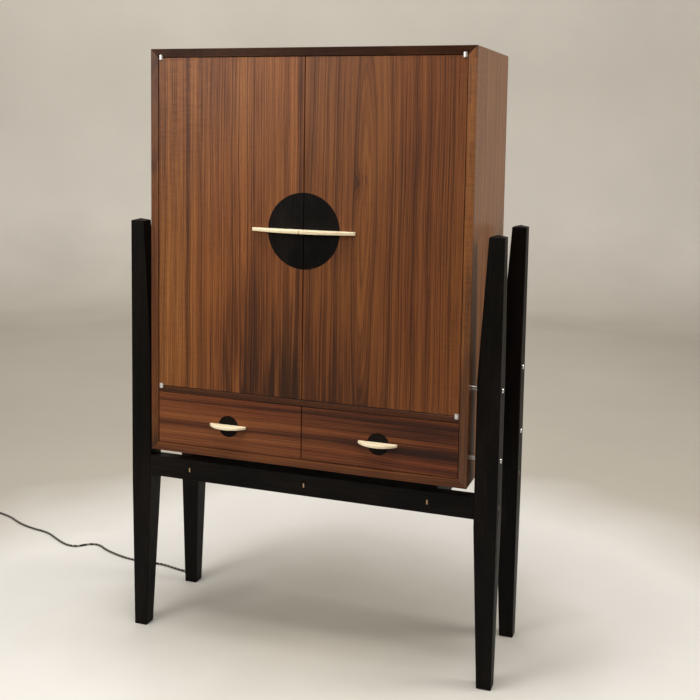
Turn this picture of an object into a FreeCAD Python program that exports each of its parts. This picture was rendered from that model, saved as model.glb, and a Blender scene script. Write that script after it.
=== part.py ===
import FreeCAD, Part
import math
import os

# A bar cabinet: a walnut case with two doors over two drawers, held between four tapered black legs by rods
# and rails, with a counter, a fold-out shelf and an upper shelf behind the doors, and a corner light.
#
# Millimetres, X to the right, Y to the back, Z up from the floor. The pieces are drawn about the middle of
# the case, and the whole is then moved by ORIGIN_SHIFT_Y, so that the origin is on the floor under the
# middle of the outline with its handles and strain relief.

V = FreeCAD.Vector

# ---- Case ------------------------------------------------------------------------------------------------
CASE_WIDTH = 812.0
CASE_DEPTH = 356.0
CASE_HEIGHT = 1000.0
CASE_BASE_Z = 480.0            # underside of the case above the floor
PANEL = 20.0                   # sides, top and bottom
ARRIS = 0.8                    # eased outer edges
BACK_THICK = 8.0
BACK_REBATE = 10.0             # depth of the rebates that hold the back panel
DIVIDER_THICK = 14.0           # between doors and drawers
DRAWER_BAY_HEIGHT = 131.5
PARTITION_THICK = 16.0
PARTITION_CLEARANCE = 2.0      # behind the drawer fronts

# ---- Doors and drawer fronts -------------------------------------------------------------------------------
FRONT_THICK = 20.0
FRONT_SETBACK = 1.0            # fronts behind the case's front edges
FRONT_GAP = 1.5
MEETING_GAP = 2.0
FRONT_ARRIS = 0.6
DISC_THICK = 5.0
DOOR_DISC_R = 91.0
DOOR_DISC_DROP = 1.5           # disc's middle below the door's
DRAWER_DISC_R = 26.5
DRAWER_DISC_DROP = 5.5         # disc's middle below the drawer front's

# ---- Handles -----------------------------------------------------------------------------------------------
HANDLE_ROUND = 1.2
HANDLE_TONGUE = 8.0            # depth of the tongue in the front
HANDLE_TONGUE_THICK = 4.0
HANDLE_TONGUE_INSET = 20.0     # tongue's ends within the handle's ends
DOOR_HANDLE_HALF = 130.0
DOOR_HANDLE_DEPTH = 31.0
DOOR_HANDLE_END = 6.0
DOOR_HANDLE_THICK = 8.0
DOOR_HANDLE_DROP = 1.5         # handle's middle below the door's
DRAWER_HANDLE_HALF = 48.0
DRAWER_HANDLE_DEPTH = 29.0
DRAWER_HANDLE_END = 5.0
DRAWER_HANDLE_THICK = 6.2
DRAWER_HANDLE_DROP = 4.0       # handle's middle below the drawer front's

# ---- Knife hinges of the doors -----------------------------------------------------------------------------
HINGE_BARREL_R = 5.75
HINGE_BARREL_REACH = 5.75      # from the middle of the gap to a barrel's far end
HINGE_SEAM = 0.1               # between the two halves of a barrel
HINGE_FIT = 0.05
HINGE_PIN_R = 2.5
HINGE_INSET = 7.5              # pin axis from the inner face of the case's side
HINGE_PROUD = 3.5              # pin axis behind the case's front edges
HINGE_LEAF_LENGTH = 50.0
HINGE_LEAF_WIDTH = 10.0
HINGE_LEAF_THICK = 2.5
HINGE_LEAF_OFFSET = 2.5        # leaf's front edge behind the pin axis
HINGE_SCREW_PITCH = 20.0
HINGE_SCREW_LENGTH = 11.0

# ---- Door catches ------------------------------------------------------------------------------------------
CATCH_INNER_X = 12.0
CATCH_LENGTH = 40.0
CATCH_HEIGHT = 14.0
CATCH_DEPTH = 18.7
CATCH_GAP = 0.3                # magnet to strike
STRIKE_HEIGHT = 12.0
STRIKE_THICK = 2.0

# ---- Drawers -----------------------------------------------------------------------------------------------
DRAWER_SIDE_GAP = 2.0
DRAWER_SIDE_THICK = 12.0
DRAWER_SIDE_HEIGHT = 95.0
DRAWER_UNDERCUT = 12.0         # box above the case's bottom
DRAWER_LENGTH = 300.0          # box behind the front
DRAWER_BOTTOM_RISE = 6.0       # bottom above the sides' lower edges
DRAWER_BOTTOM_THICK = 6.0
DRAWER_GROOVE = 6.0
RUNNER_RISE = 60.2             # runner above the case's bottom
RUNNER_HEIGHT = 12.0
RUNNER_FIT = 0.2
RUNNER_ENTRY = 5.5             # how far a runner enters its groove
RUNNER_START = 7.0             # closed front end of the groove behind the front

# ---- Inside the bar ----------------------------------------------------------------------------------------
SHELF_THICK = 18.0
UPPER_SPACE = 152.0            # above the upper shelf
BAR_SPACE = 280.0              # between the counter and the upper shelf
SHELF_SIDE_GAP = 1.0
SHELF_FRONT_GAP = 7.0
SHELF_REAR_GAP = 5.0
SHELF_PIN_R = 2.5
SHELF_PIN_LENGTH = 15.0
SHELF_PIN_DEPTH = 8.0
SHELF_PIN_INSET = 43.0         # from the shelf's front and rear edges

# ---- Fold-out shelf (the leaf) -----------------------------------------------------------------------------
LEAF_DEPTH = 150.0
LEAF_SIDE_GAP = 3.0
LEAF_DOOR_CLEARANCE = 6.0      # between the swinging leaf's edge and the closed doors
LEAF_HINGE_GAP = 0.3
LEAF_HINGE_X = (-250.0, 0.0, 250.0)
LEAF_HINGE_LENGTH = 60.0
LEAF_KNUCKLES = 5
LEAF_KNUCKLE_R = 3.0
LEAF_KNUCKLE_GAP = 0.2
LEAF_KNUCKLE_CLEARANCE = 0.3
LEAF_HINGE_PIN_R = 1.5
LEAF_PIN_FIT = 0.05
LEAF_PLATE_WIDTH = 20.0
LEAF_PLATE_THICK = 1.6
LEAF_SCREW_LENGTH = 12.0
LEDGE_WIDTH = 18.0
LEDGE_HEIGHT = 18.0
LEDGE_SETBACK = 10.0           # ledge's front end behind the lowered leaf's edge
LEDGE_GAP = 0.2
STOP_WIDTH = 10.0
STOP_DEPTH = 12.0
STOP_HEIGHT = 30.0
STOP_GAP = 0.3
PULL_HALF = 30.0
PULL_DEPTH = 10.0
PULL_END = 3.0
PULL_THICK = 6.0
PULL_DROP = 15.0               # below the stored leaf's upper edge
PULL_TONGUE_INSET = 8.0

# ---- Legs --------------------------------------------------------------------------------------------------
LEG_GAP = 13.5                 # between the case's side and a leg
LEG_INSET = 19.0               # leg's outer face within the case's depth, each end
LEG_HEIGHT = 1061.0
LEG_POINT = 5.0                # height of the pyramid on top
LEG_WIDE = 54.0
LEG_TOP_WIDTH = 36.5
LEG_FOOT_WIDTH = 35.0
LEG_WIDE_BELOW = 95.0          # full width starts this far below the case
LEG_WIDE_ABOVE = 250.0         # and ends this far above the case's underside
FOOT_TOE_IN = 3.5
LEG_LEAN = 1.0                 # outward lean of the outer side, from the full width to the top
LEG_ARRIS = 1.5

# ---- Rods between case and legs ----------------------------------------------------------------------------
ROD_R = 6.0
ROD_RISES = (61.0, 225.0)      # above the case's underside
ROD_PROUD = 2.0
ROD_TIP_ROUND = 1.9
ROD_BORE_FIT = 0.05
SPIGOT_R = 4.0
INSERT_R = 7.0
INSERT_DEPTH = 15.0

# ---- Rails, stretchers and the panels between them ---------------------------------------------------------
RAIL_DROP = 23.5               # rail's top below the case
RAIL_HEIGHT = 52.0
RAIL_THICK = 32.0
RAIL_ARRIS = 0.6
TENON_THICK = 12.0
RAIL_TENON_HEIGHT = 32.0
RAIL_TENON_OFFSET = 2.0        # tenon's middle outside the leg's middle
STRETCHER_X = (-309.0, 0.0, 309.0)
STRETCHER_WIDTH = 30.0
STRETCHER_TENON_HEIGHT = 28.0
TENON_SHY = 0.3                # tenon's end within the outer face
WEDGE = (3.2, 10.4, 14.0)      # thickness, height and depth
BASE_PANEL_THICK = 12.0
BASE_PANEL_DROP = 4.5          # below the rails' top
BASE_GROOVE = 6.0              # depth of the grooves that hold the base panels

# ---- Screws ------------------------------------------------------------------------------------------------
SCREW_HEAD_R = 3.0
SCREW_SHANK_R = 1.5
SCREW_HEAD_HEIGHT = 1.5

# ---- Corner light ------------------------------------------------------------------------------------------
LIGHT_WIDTH = 18.0
LIGHT_DEPTH = 15.0
LIGHT_WALL = 1.5
LIGHT_CAP = 1.5
LIGHT_SIDE_GAP = 2.0
LIGHT_END_GAP = 0.5
DIFFUSER_THICK = 1.5
DIFFUSER_SETBACK = 0.5

# ---- Cord, strain relief, clips and plug -------------------------------------------------------------------
CORD_R = 3.0
CORD_FLOOR_Z = CORD_R + 0.05
RELIEF_WIDTH = 26.0
RELIEF_HEIGHT = 34.0
RELIEF_RISE = 4.0              # housing above the counter's top
RELIEF_DEPTH = 19.0
RELIEF_ROUND = 2.0
BOOT_LENGTH = 26.0
BOOT_R = (6.0, 4.0)            # at the housing and at the cord
WIRE_HOLE_R = 3.0
CLIP_WIDTH = 12.0
CLIP_HEIGHT = 9.0
CLIP_WALL = 2.2
CLIP_FIT = 0.3
CLIP_RUNS = (1, 3, 7, 9, 11)   # runs of the route whose middles are clipped
CLIP_ROOT = 1.0                # saddle drawn this far into the leg before it is trimmed to it

# The route's corners from the boot to the coil, chosen by hand: down behind the case, across to the back of
# the rear left leg, down the leg, then loose over the floor to the left.
CORD_ROUTE = [
    V(-375.0, 187.5, 990.0),
    V(-375.0, 187.5, 935.0),
    V(-376.8, 187.6, 857.0),
    V(-381.5, 187.8, 779.0),
    V(-389.5, 187.6, 702.0),
    V(-402.5, 186.8, 626.0),
    V(-420.0, 183.5, 550.0),
    V(-437.0, 177.0, 474.0),
    V(-448.0, 171.2, 394.0),
    V(-453.5, 168.3, 312.0),
    V(-455.8, 167.2, 228.0),
    V(-456.4, 167.0, 140.0),
    V(-457.0, 167.8, 54.0),
    V(-486.0, 171.5, CORD_FLOOR_Z),
    V(-530.0, 178.0, CORD_FLOOR_Z),
    V(-585.0, 194.0, CORD_FLOOR_Z),
    V(-645.0, 186.0, CORD_FLOOR_Z),
    V(-712.0, 193.0, CORD_FLOOR_Z),
    V(-792.0, 221.0, CORD_FLOOR_Z),
    V(-836.0, 252.0, CORD_FLOOR_Z),
    V(-870.0, 243.0, CORD_FLOOR_Z),
    V(-890.0, 214.0, CORD_FLOOR_Z),
    V(-926.0, 211.0, CORD_FLOOR_Z),
    V(-975.0, 235.0, CORD_FLOOR_Z),
    V(-1040.0, 277.0, CORD_FLOOR_Z),
    V(-1110.0, 287.0, CORD_FLOOR_Z),
    V(-1175.0, 310.0, CORD_FLOOR_Z),
    V(-1230.0, 343.0, CORD_FLOOR_Z),
    V(-1278.0, 359.0, CORD_FLOOR_Z),
]
COIL_CENTRE = V(-1335.0, 335.0, 0.0)
COIL_MIDDLE_R = 33.0
COIL_TURNS_ACROSS = 3
COIL_TURNS_HIGH = 2
COIL_GAP = 0.2                 # between neighbouring turns
COIL_ROUND = 2.5
PLUG_ANGLE = 180.0             # where the cord leaves the coil, degrees counter-clockwise from +X
PLUG_TAIL = 30.0               # cord between the coil's tangent point and the plug's boot
PLUG_WIDTH = 35.0
PLUG_NECK = 14.0
PLUG_LENGTH = 34.0
PLUG_SHOULDER = 16.0
PLUG_THICK = 13.7
PLUG_ROUND = 2.0
PLUG_BOOT = 14.0
PLUG_PIN_R = 2.0
PLUG_PIN_LENGTH = 19.0
PLUG_PIN_PITCH = 19.0

# ---- Places worked out from the sizes ----------------------------------------------------------------------
TOUCH = 1e-4                   # two coordinates within this are the same
OVERRUN = 5.0                  # how far a cutting tool runs past what it cuts

CASE_X = CASE_WIDTH / 2.0
CASE_FRONT = -CASE_DEPTH / 2.0
CASE_REAR = CASE_DEPTH / 2.0
CASE_TOP = CASE_BASE_Z + CASE_HEIGHT
INSIDE_X = CASE_X - PANEL
INSIDE_REAR = CASE_REAR - BACK_THICK
BAY_FLOOR = CASE_BASE_Z + PANEL
BAY_CEILING = BAY_FLOOR + DRAWER_BAY_HEIGHT
DIVIDER_TOP = BAY_CEILING + DIVIDER_THICK
CEILING = CASE_TOP - PANEL

FRONT_FACE = CASE_FRONT + FRONT_SETBACK
FRONT_REAR = FRONT_FACE + FRONT_THICK
FRONT_INNER_X = MEETING_GAP / 2.0
FRONT_OUTER_X = INSIDE_X - FRONT_GAP
FRONT_MIDDLE_X = (FRONT_INNER_X + FRONT_OUTER_X) / 2.0
DOOR_BASE = DIVIDER_TOP + FRONT_GAP
DOOR_TOP = CEILING - FRONT_GAP
DOOR_MIDDLE = (DOOR_BASE + DOOR_TOP) / 2.0
DRAWER_BASE = BAY_FLOOR + FRONT_GAP
DRAWER_TOP = BAY_CEILING - FRONT_GAP
DRAWER_MIDDLE = (DRAWER_BASE + DRAWER_TOP) / 2.0

HINGE_X = INSIDE_X - HINGE_INSET
HINGE_Y = CASE_FRONT + HINGE_PROUD
HINGE_SEAMS = {"upper": CEILING - FRONT_GAP / 2.0, "lower": DIVIDER_TOP + FRONT_GAP / 2.0}

UPPER_SHELF_BASE = CEILING - UPPER_SPACE - SHELF_THICK
COUNTER_TOP = UPPER_SHELF_BASE - BAR_SPACE
LEAF_AXIS_Y = FRONT_REAR + LEAF_DOOR_CLEARANCE + math.hypot(LEAF_DEPTH, SHELF_THICK)
LEAF_AXIS_Z = COUNTER_TOP

LEG_INNER_X = CASE_X + LEG_GAP
LEG_OUTER_X = LEG_INNER_X + LEG_WIDE
LEG_OUTER_Y = CASE_REAR - LEG_INSET
LEG_MIDDLE_Y = LEG_OUTER_Y - LEG_WIDE / 2.0
LEG_WIDE_START = CASE_BASE_Z - LEG_WIDE_BELOW
LEG_WIDE_END = CASE_BASE_Z + LEG_WIDE_ABOVE
LEG_SHOULDER = LEG_HEIGHT - LEG_POINT

RAIL_TOP = CASE_BASE_Z - RAIL_DROP
RAIL_BASE = RAIL_TOP - RAIL_HEIGHT
RAIL_MIDDLE_Z = (RAIL_TOP + RAIL_BASE) / 2.0
RAIL_INNER_Y = LEG_OUTER_Y - RAIL_THICK
RAIL_TENON_Y = LEG_MIDDLE_Y + RAIL_TENON_OFFSET
BASE_PANEL_TOP = RAIL_TOP - BASE_PANEL_DROP

DRAWER_BOX_X = (PARTITION_THICK / 2.0 + DRAWER_SIDE_GAP, INSIDE_X - DRAWER_SIDE_GAP)
DRAWER_BOX_REAR = FRONT_REAR + DRAWER_LENGTH
DRAWER_SIDE_BASE = BAY_FLOOR + DRAWER_UNDERCUT
DRAWER_SIDE_TOP = DRAWER_SIDE_BASE + DRAWER_SIDE_HEIGHT
DRAWER_PANEL_BASE = DRAWER_SIDE_BASE + DRAWER_BOTTOM_RISE
DRAWER_PANEL_TOP = DRAWER_PANEL_BASE + DRAWER_BOTTOM_THICK
RUNNER_BASE = BAY_FLOOR + RUNNER_RISE
RUNNER_TOP = RUNNER_BASE + RUNNER_HEIGHT
RUNNER_PROUD = DRAWER_SIDE_GAP + RUNNER_ENTRY
RUNNER_FRONT = FRONT_REAR + RUNNER_START

RELIEF_X = -(INSIDE_X - LIGHT_SIDE_GAP - LIGHT_WIDTH / 2.0)
RELIEF_Y = CASE_REAR + RELIEF_DEPTH / 2.0
RELIEF_BASE = CORD_ROUTE[0].z + BOOT_LENGTH
ORIGIN_SHIFT_Y = (DOOR_HANDLE_DEPTH - FRONT_SETBACK - RELIEF_DEPTH) / 2.0


# ---- Small helpers -----------------------------------------------------------------------------------------
def block(x0, x1, y0, y1, z0, z1):
    """Box between two limits on each axis."""
    return Part.makeBox(x1 - x0, y1 - y0, z1 - z0, V(x0, y0, z0))


def cylinder(radius, start, end):
    """Round bar from start to end."""
    axis = end - start
    return Part.makeCylinder(radius, axis.Length, start, axis)


def prism(corners, along):
    """Solid of a flat closed outline pushed along a vector."""
    return Part.Face(Part.makePolygon(corners + corners[:1])).extrude(along)


def to_left(shape):
    """Mirror image on the other side of the middle plane."""
    return shape.mirror(V(0, 0, 0), V(1, 0, 0))


def to_front(shape):
    """Mirror image at the other end of the depth."""
    return shape.mirror(V(0, 0, 0), V(0, 1, 0))


def upside_down(shape):
    """Mirror image through the level of z = 0."""
    return shape.mirror(V(0, 0, 0), V(0, 0, 1))


def both_sides(shapes):
    """The shapes and their mirror images on the left."""
    return list(shapes) + [to_left(shape) for shape in shapes]


def four_corners(shapes):
    """The shapes of the rear right corner, repeated in all four corners."""
    rear = both_sides(shapes)
    return rear + [to_front(shape) for shape in rear]


def edges_at(shape, axis, value):
    """Edges that lie all along one coordinate; axis is 'X', 'Y' or 'Z'."""
    return [edge for edge in shape.Edges
            if all(abs(getattr(vertex, axis) - value) < TOUCH for vertex in edge.Vertexes)]


def cut_all(shape, tools):
    """Shape less all the tools."""
    tools = list(tools)
    return shape.cut(tools) if tools else shape


def screw(head, along, length):
    """Countersunk screw whose head lies flush at a point and whose shank runs along a vector."""
    direction = V(along).normalize()
    cone = Part.makeCone(SCREW_HEAD_R, SCREW_SHANK_R, SCREW_HEAD_HEIGHT, head, direction)
    shank_start = head + direction * SCREW_HEAD_HEIGHT
    shank = cylinder(SCREW_SHANK_R, shank_start, head + direction * length)
    return cone.fuse(shank).removeSplitter()


def crescent(centre_x, back_y, centre_z, half, depth, end_depth, thick):
    """Boat-shaped bar: straight along its back at back_y, its front one arc between its two ends."""
    base = centre_z - thick / 2.0
    corners = [V(centre_x - half, back_y, base), V(centre_x - half, back_y - end_depth, base),
               V(centre_x + half, back_y - end_depth, base), V(centre_x + half, back_y, base)]
    crown = V(centre_x, back_y - depth, base)
    outline = Part.Wire([Part.LineSegment(corners[0], corners[1]).toShape(),
                         Part.Arc(corners[1], crown, corners[2]).toShape(),
                         Part.LineSegment(corners[2], corners[3]).toShape(),
                         Part.LineSegment(corners[3], corners[0]).toShape()])
    bar = Part.Face(outline).extrude(V(0, 0, thick))
    front = [edge for edge in bar.Edges if edge.Length > half and edge.BoundBox.YMin < back_y - end_depth]
    return bar.makeFillet(HANDLE_ROUND, front)


def tongue(centre_x, back_y, centre_z, half):
    """Tongue behind a bar handle, and the mortise that takes it."""
    return block(centre_x - half, centre_x + half, back_y, back_y + HANDLE_TONGUE,
                 centre_z - HANDLE_TONGUE_THICK / 2.0, centre_z + HANDLE_TONGUE_THICK / 2.0)


# ---- Knife hinges ------------------------------------------------------------------------------------------
def hinge_screws():
    """Screws of a leaf above the seam, about the pin axis."""
    y = HINGE_LEAF_OFFSET + HINGE_LEAF_WIDTH / 2.0
    places = [V(-HINGE_SCREW_PITCH * count, y, FRONT_GAP / 2.0) for count in (1, 2)]
    return [screw(place, V(0, 0, 1), HINGE_SCREW_LENGTH) for place in places]


def hinge_plate():
    """Flat leaf above the seam with its neck to the barrel, without holes."""
    base = FRONT_GAP / 2.0
    top = base + HINGE_LEAF_THICK
    leaf = block(-HINGE_LEAF_LENGTH, 0, HINGE_LEAF_OFFSET, HINGE_LEAF_OFFSET + HINGE_LEAF_WIDTH, base, top)
    neck = block(-HINGE_BARREL_R, 0, 0, HINGE_LEAF_OFFSET, base, top)
    return leaf.fuse(neck)


def hinge_half(bore_radius):
    """Half a knife hinge above the seam: leaf and half barrel in one."""
    barrel = cylinder(HINGE_BARREL_R, V(0, 0, HINGE_SEAM / 2.0), V(0, 0, HINGE_BARREL_REACH))
    body = hinge_plate().fuse(barrel).removeSplitter()
    bore = cylinder(bore_radius, V(0, 0, -OVERRUN), V(0, 0, HINGE_BARREL_REACH + OVERRUN))
    return cut_all(body, [bore] + hinge_screws())


def hinge_pin():
    """Pin fixed in the upper half barrel, down into the lower one."""
    return cylinder(HINGE_PIN_R, V(0, 0, -HINGE_BARREL_REACH + HINGE_SEAM), V(0, 0, HINGE_BARREL_REACH))


def hinge_recess():
    """What half a hinge takes out of the panel above the seam: leaf bed, barrel notch and screw holes."""
    reach = HINGE_BARREL_R + HINGE_FIT
    notch = block(-reach, HINGE_INSET, -reach, reach, -OVERRUN, HINGE_BARREL_REACH + HINGE_FIT)
    bed = hinge_plate().fuse(block(-HINGE_LEAF_LENGTH, 0, HINGE_LEAF_OFFSET,
                                   HINGE_LEAF_OFFSET + HINGE_LEAF_WIDTH, 0, FRONT_GAP / 2.0))
    return bed.fuse([notch] + hinge_screws())


def at_hinge(shape, level):
    """Shape drawn above the seam of an upper hinge, moved to the right door's upper or lower hinge."""
    turned = upside_down(shape) if level == "lower" else shape
    return turned.translated(V(HINGE_X, HINGE_Y, HINGE_SEAMS[level]))


def case_hinges():
    """Case halves of all four hinges, with their pins and screws."""
    drawn = [hinge_half(HINGE_PIN_R), hinge_pin()] + hinge_screws()
    return both_sides([at_hinge(shape, level) for level in HINGE_SEAMS for shape in drawn])


def door_hinges():
    """Right door's halves of its two hinges, with their screws."""
    drawn = [hinge_half(HINGE_PIN_R + HINGE_FIT)] + hinge_screws()
    return [at_hinge(upside_down(shape), level) for level in HINGE_SEAMS for shape in drawn]


# ---- Case --------------------------------------------------------------------------------------------------
def case_envelope():
    """The closed case as one block with eased edges."""
    whole = block(-CASE_X, CASE_X, CASE_FRONT, CASE_REAR, CASE_BASE_Z, CASE_TOP)
    return whole.makeChamfer(ARRIS, whole.Edges)


def back_panel():
    """Back panel, from rebate to rebate."""
    return block(-INSIDE_X - BACK_REBATE, INSIDE_X + BACK_REBATE, INSIDE_REAR, CASE_REAR,
                 BAY_FLOOR - BACK_REBATE, CEILING + BACK_REBATE)


def side_panel():
    """Right side panel, mitred at both ends, bored for the rods' inserts and the shelf pins."""
    corners = [V(INSIDE_X, CASE_FRONT, BAY_FLOOR), V(CASE_X, CASE_FRONT, CASE_BASE_Z),
               V(CASE_X, CASE_FRONT, CASE_TOP), V(INSIDE_X, CASE_FRONT, CEILING)]
    panel = prism(corners, V(0, CASE_DEPTH, 0)).common(case_envelope())
    bores = [cylinder(INSERT_R, V(CASE_X - INSERT_DEPTH, y, z), V(CASE_X + OVERRUN, y, z))
             for y, z in rod_places()]
    return cut_all(panel, [back_panel()] + bores + right_shelf_pins())


def level_panel(outer_z, inner_z):
    """Mitred panel right across the case, between its outer and its inner face."""
    corners = [V(-CASE_X, CASE_FRONT, outer_z), V(CASE_X, CASE_FRONT, outer_z),
               V(INSIDE_X, CASE_FRONT, inner_z), V(-INSIDE_X, CASE_FRONT, inner_z)]
    return prism(corners, V(0, CASE_DEPTH, 0)).common(case_envelope()).cut(back_panel())


def top_panel():
    """Top panel with the beds of the upper hinges."""
    recess = at_hinge(hinge_recess(), "upper")
    return level_panel(CASE_TOP, CEILING).cut(both_sides([recess]))


def bottom_panel():
    """Bottom panel."""
    return level_panel(CASE_BASE_Z, BAY_FLOOR)


def divider_panel():
    """Divider between doors and drawers with the beds of the lower hinges."""
    board = block(-INSIDE_X, INSIDE_X, CASE_FRONT, INSIDE_REAR, BAY_CEILING, DIVIDER_TOP)
    board = board.makeChamfer(FRONT_ARRIS, edges_at(board, "Y", CASE_FRONT))
    recess = at_hinge(hinge_recess(), "lower")
    return board.cut(both_sides([recess]))


def drawer_partition():
    """Upright board between the two drawers."""
    half = PARTITION_THICK / 2.0
    return block(-half, half, FRONT_REAR + PARTITION_CLEARANCE, INSIDE_REAR, BAY_FLOOR, BAY_CEILING)


def bored_back_panel():
    """Back panel with the hole for the light's wire behind the strain relief."""
    middle_z = RELIEF_BASE + RELIEF_HEIGHT / 2.0
    hole = cylinder(WIRE_HOLE_R, V(RELIEF_X, INSIDE_REAR - OVERRUN, middle_z),
                    V(RELIEF_X, CASE_REAR + OVERRUN, middle_z))
    return back_panel().cut(hole)


# ---- Shelves -----------------------------------------------------------------------------------------------
def fixed_counter():
    """Counter behind the fold-out shelf, hollowed for the knuckles and bedded for the hinge plates."""
    board = block(-INSIDE_X, INSIDE_X, LEAF_AXIS_Y, INSIDE_REAR, COUNTER_TOP - SHELF_THICK, COUNTER_TOP)
    return cut_all(board, leaf_hinge_beds(counter_plate, counter_plate_screws))


def upper_shelf():
    """Loose shelf on four pins."""
    half = INSIDE_X - SHELF_SIDE_GAP
    board = block(-half, half, FRONT_REAR + SHELF_FRONT_GAP, INSIDE_REAR - SHELF_REAR_GAP,
                  UPPER_SHELF_BASE, UPPER_SHELF_BASE + SHELF_THICK)
    return board.makeChamfer(FRONT_ARRIS, edges_at(board, "Y", FRONT_REAR + SHELF_FRONT_GAP))


def right_shelf_pins():
    """The two pins in the right side that carry the upper shelf."""
    z = UPPER_SHELF_BASE - SHELF_PIN_R
    front = FRONT_REAR + SHELF_FRONT_GAP + SHELF_PIN_INSET
    rear = INSIDE_REAR - SHELF_REAR_GAP - SHELF_PIN_INSET
    start = INSIDE_X + SHELF_PIN_DEPTH - SHELF_PIN_LENGTH
    return [cylinder(SHELF_PIN_R, V(start, y, z), V(INSIDE_X + SHELF_PIN_DEPTH, y, z)) for y in (front, rear)]


# ---- Door catches ------------------------------------------------------------------------------------------
def door_catch():
    """Magnet block under the top panel, behind the right door's inner corner."""
    start = FRONT_REAR + CATCH_GAP
    return block(CATCH_INNER_X, CATCH_INNER_X + CATCH_LENGTH, start, start + CATCH_DEPTH,
                 CEILING - CATCH_HEIGHT, CEILING)


def door_strike():
    """Steel strip let into the back of the right door."""
    return block(CATCH_INNER_X, CATCH_INNER_X + CATCH_LENGTH, FRONT_REAR - STRIKE_THICK, FRONT_REAR,
                 DOOR_TOP - STRIKE_HEIGHT, DOOR_TOP)


# ---- Doors -------------------------------------------------------------------------------------------------
def inlaid_disc(centre_x, centre_z, radius):
    """Round wood inlay, flush with the fronts."""
    return cylinder(radius, V(centre_x, FRONT_FACE, centre_z), V(centre_x, FRONT_FACE + DISC_THICK, centre_z))


def right_of_meeting(shape):
    """The part of a shape that belongs to the right door."""
    size = CASE_WIDTH + CASE_HEIGHT
    return shape.common(block(FRONT_INNER_X, size, -size, size, 0, size))


def door_tongue():
    """Right half of the door handle's tongue."""
    half = DOOR_HANDLE_HALF - HANDLE_TONGUE_INSET
    whole = tongue(0, FRONT_FACE, DOOR_MIDDLE - DOOR_HANDLE_DROP, half)
    return whole.cut(block(-half, HANDLE_TONGUE_INSET / 2.0, -CASE_DEPTH, CASE_DEPTH, 0, CASE_TOP))


def door_panel():
    """Right door with the beds of its disc, handle, hinges and strike."""
    panel = block(FRONT_INNER_X, FRONT_OUTER_X, FRONT_FACE, FRONT_REAR, DOOR_BASE, DOOR_TOP)
    panel = panel.makeChamfer(FRONT_ARRIS, edges_at(panel, "Y", FRONT_FACE))
    disc = inlaid_disc(0, DOOR_MIDDLE - DOOR_DISC_DROP, DOOR_DISC_R)
    recesses = [at_hinge(upside_down(hinge_recess()), level) for level in HINGE_SEAMS]
    return cut_all(panel, [disc, door_tongue(), door_strike()] + recesses)


def door_disc():
    """Right half of the large disc, mortised for the handle."""
    return right_of_meeting(inlaid_disc(0, DOOR_MIDDLE - DOOR_DISC_DROP, DOOR_DISC_R)).cut(door_tongue())


def door_handle():
    """Right half of the boat-shaped door handle with its tongue."""
    bar = crescent(0, FRONT_FACE, DOOR_MIDDLE - DOOR_HANDLE_DROP, DOOR_HANDLE_HALF, DOOR_HANDLE_DEPTH,
                   DOOR_HANDLE_END, DOOR_HANDLE_THICK)
    return right_of_meeting(bar).fuse(door_tongue()).removeSplitter()


# ---- Drawers -----------------------------------------------------------------------------------------------
def drawer_tongue():
    """Tongue of the right drawer's handle."""
    return tongue(FRONT_MIDDLE_X, FRONT_FACE, DRAWER_MIDDLE - DRAWER_HANDLE_DROP,
                  DRAWER_HANDLE_HALF - HANDLE_TONGUE_INSET)


def drawer_bottom():
    """Bottom panel of the right drawer, in the grooves of front and sides."""
    inner_x = [DRAWER_BOX_X[0] + DRAWER_SIDE_THICK - DRAWER_GROOVE,
               DRAWER_BOX_X[1] - DRAWER_SIDE_THICK + DRAWER_GROOVE]
    return block(inner_x[0], inner_x[1], FRONT_REAR - DRAWER_GROOVE, DRAWER_BOX_REAR,
                 DRAWER_PANEL_BASE, DRAWER_PANEL_TOP)


def drawer_front():
    """Right drawer front with the beds of its disc, handle and bottom."""
    panel = block(FRONT_INNER_X, FRONT_OUTER_X, FRONT_FACE, FRONT_REAR, DRAWER_BASE, DRAWER_TOP)
    panel = panel.makeChamfer(FRONT_ARRIS, edges_at(panel, "Y", FRONT_FACE))
    disc = inlaid_disc(FRONT_MIDDLE_X, DRAWER_MIDDLE - DRAWER_DISC_DROP, DRAWER_DISC_R)
    return cut_all(panel, [disc, drawer_tongue(), drawer_bottom()])


def drawer_disc():
    """Small disc on the right drawer front, mortised for the handle."""
    return inlaid_disc(FRONT_MIDDLE_X, DRAWER_MIDDLE - DRAWER_DISC_DROP, DRAWER_DISC_R).cut(drawer_tongue())


def drawer_handle():
    """Boat-shaped handle of the right drawer with its tongue."""
    bar = crescent(FRONT_MIDDLE_X, FRONT_FACE, DRAWER_MIDDLE - DRAWER_HANDLE_DROP, DRAWER_HANDLE_HALF,
                   DRAWER_HANDLE_DEPTH, DRAWER_HANDLE_END, DRAWER_HANDLE_THICK)
    return bar.fuse(drawer_tongue()).removeSplitter()


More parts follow.
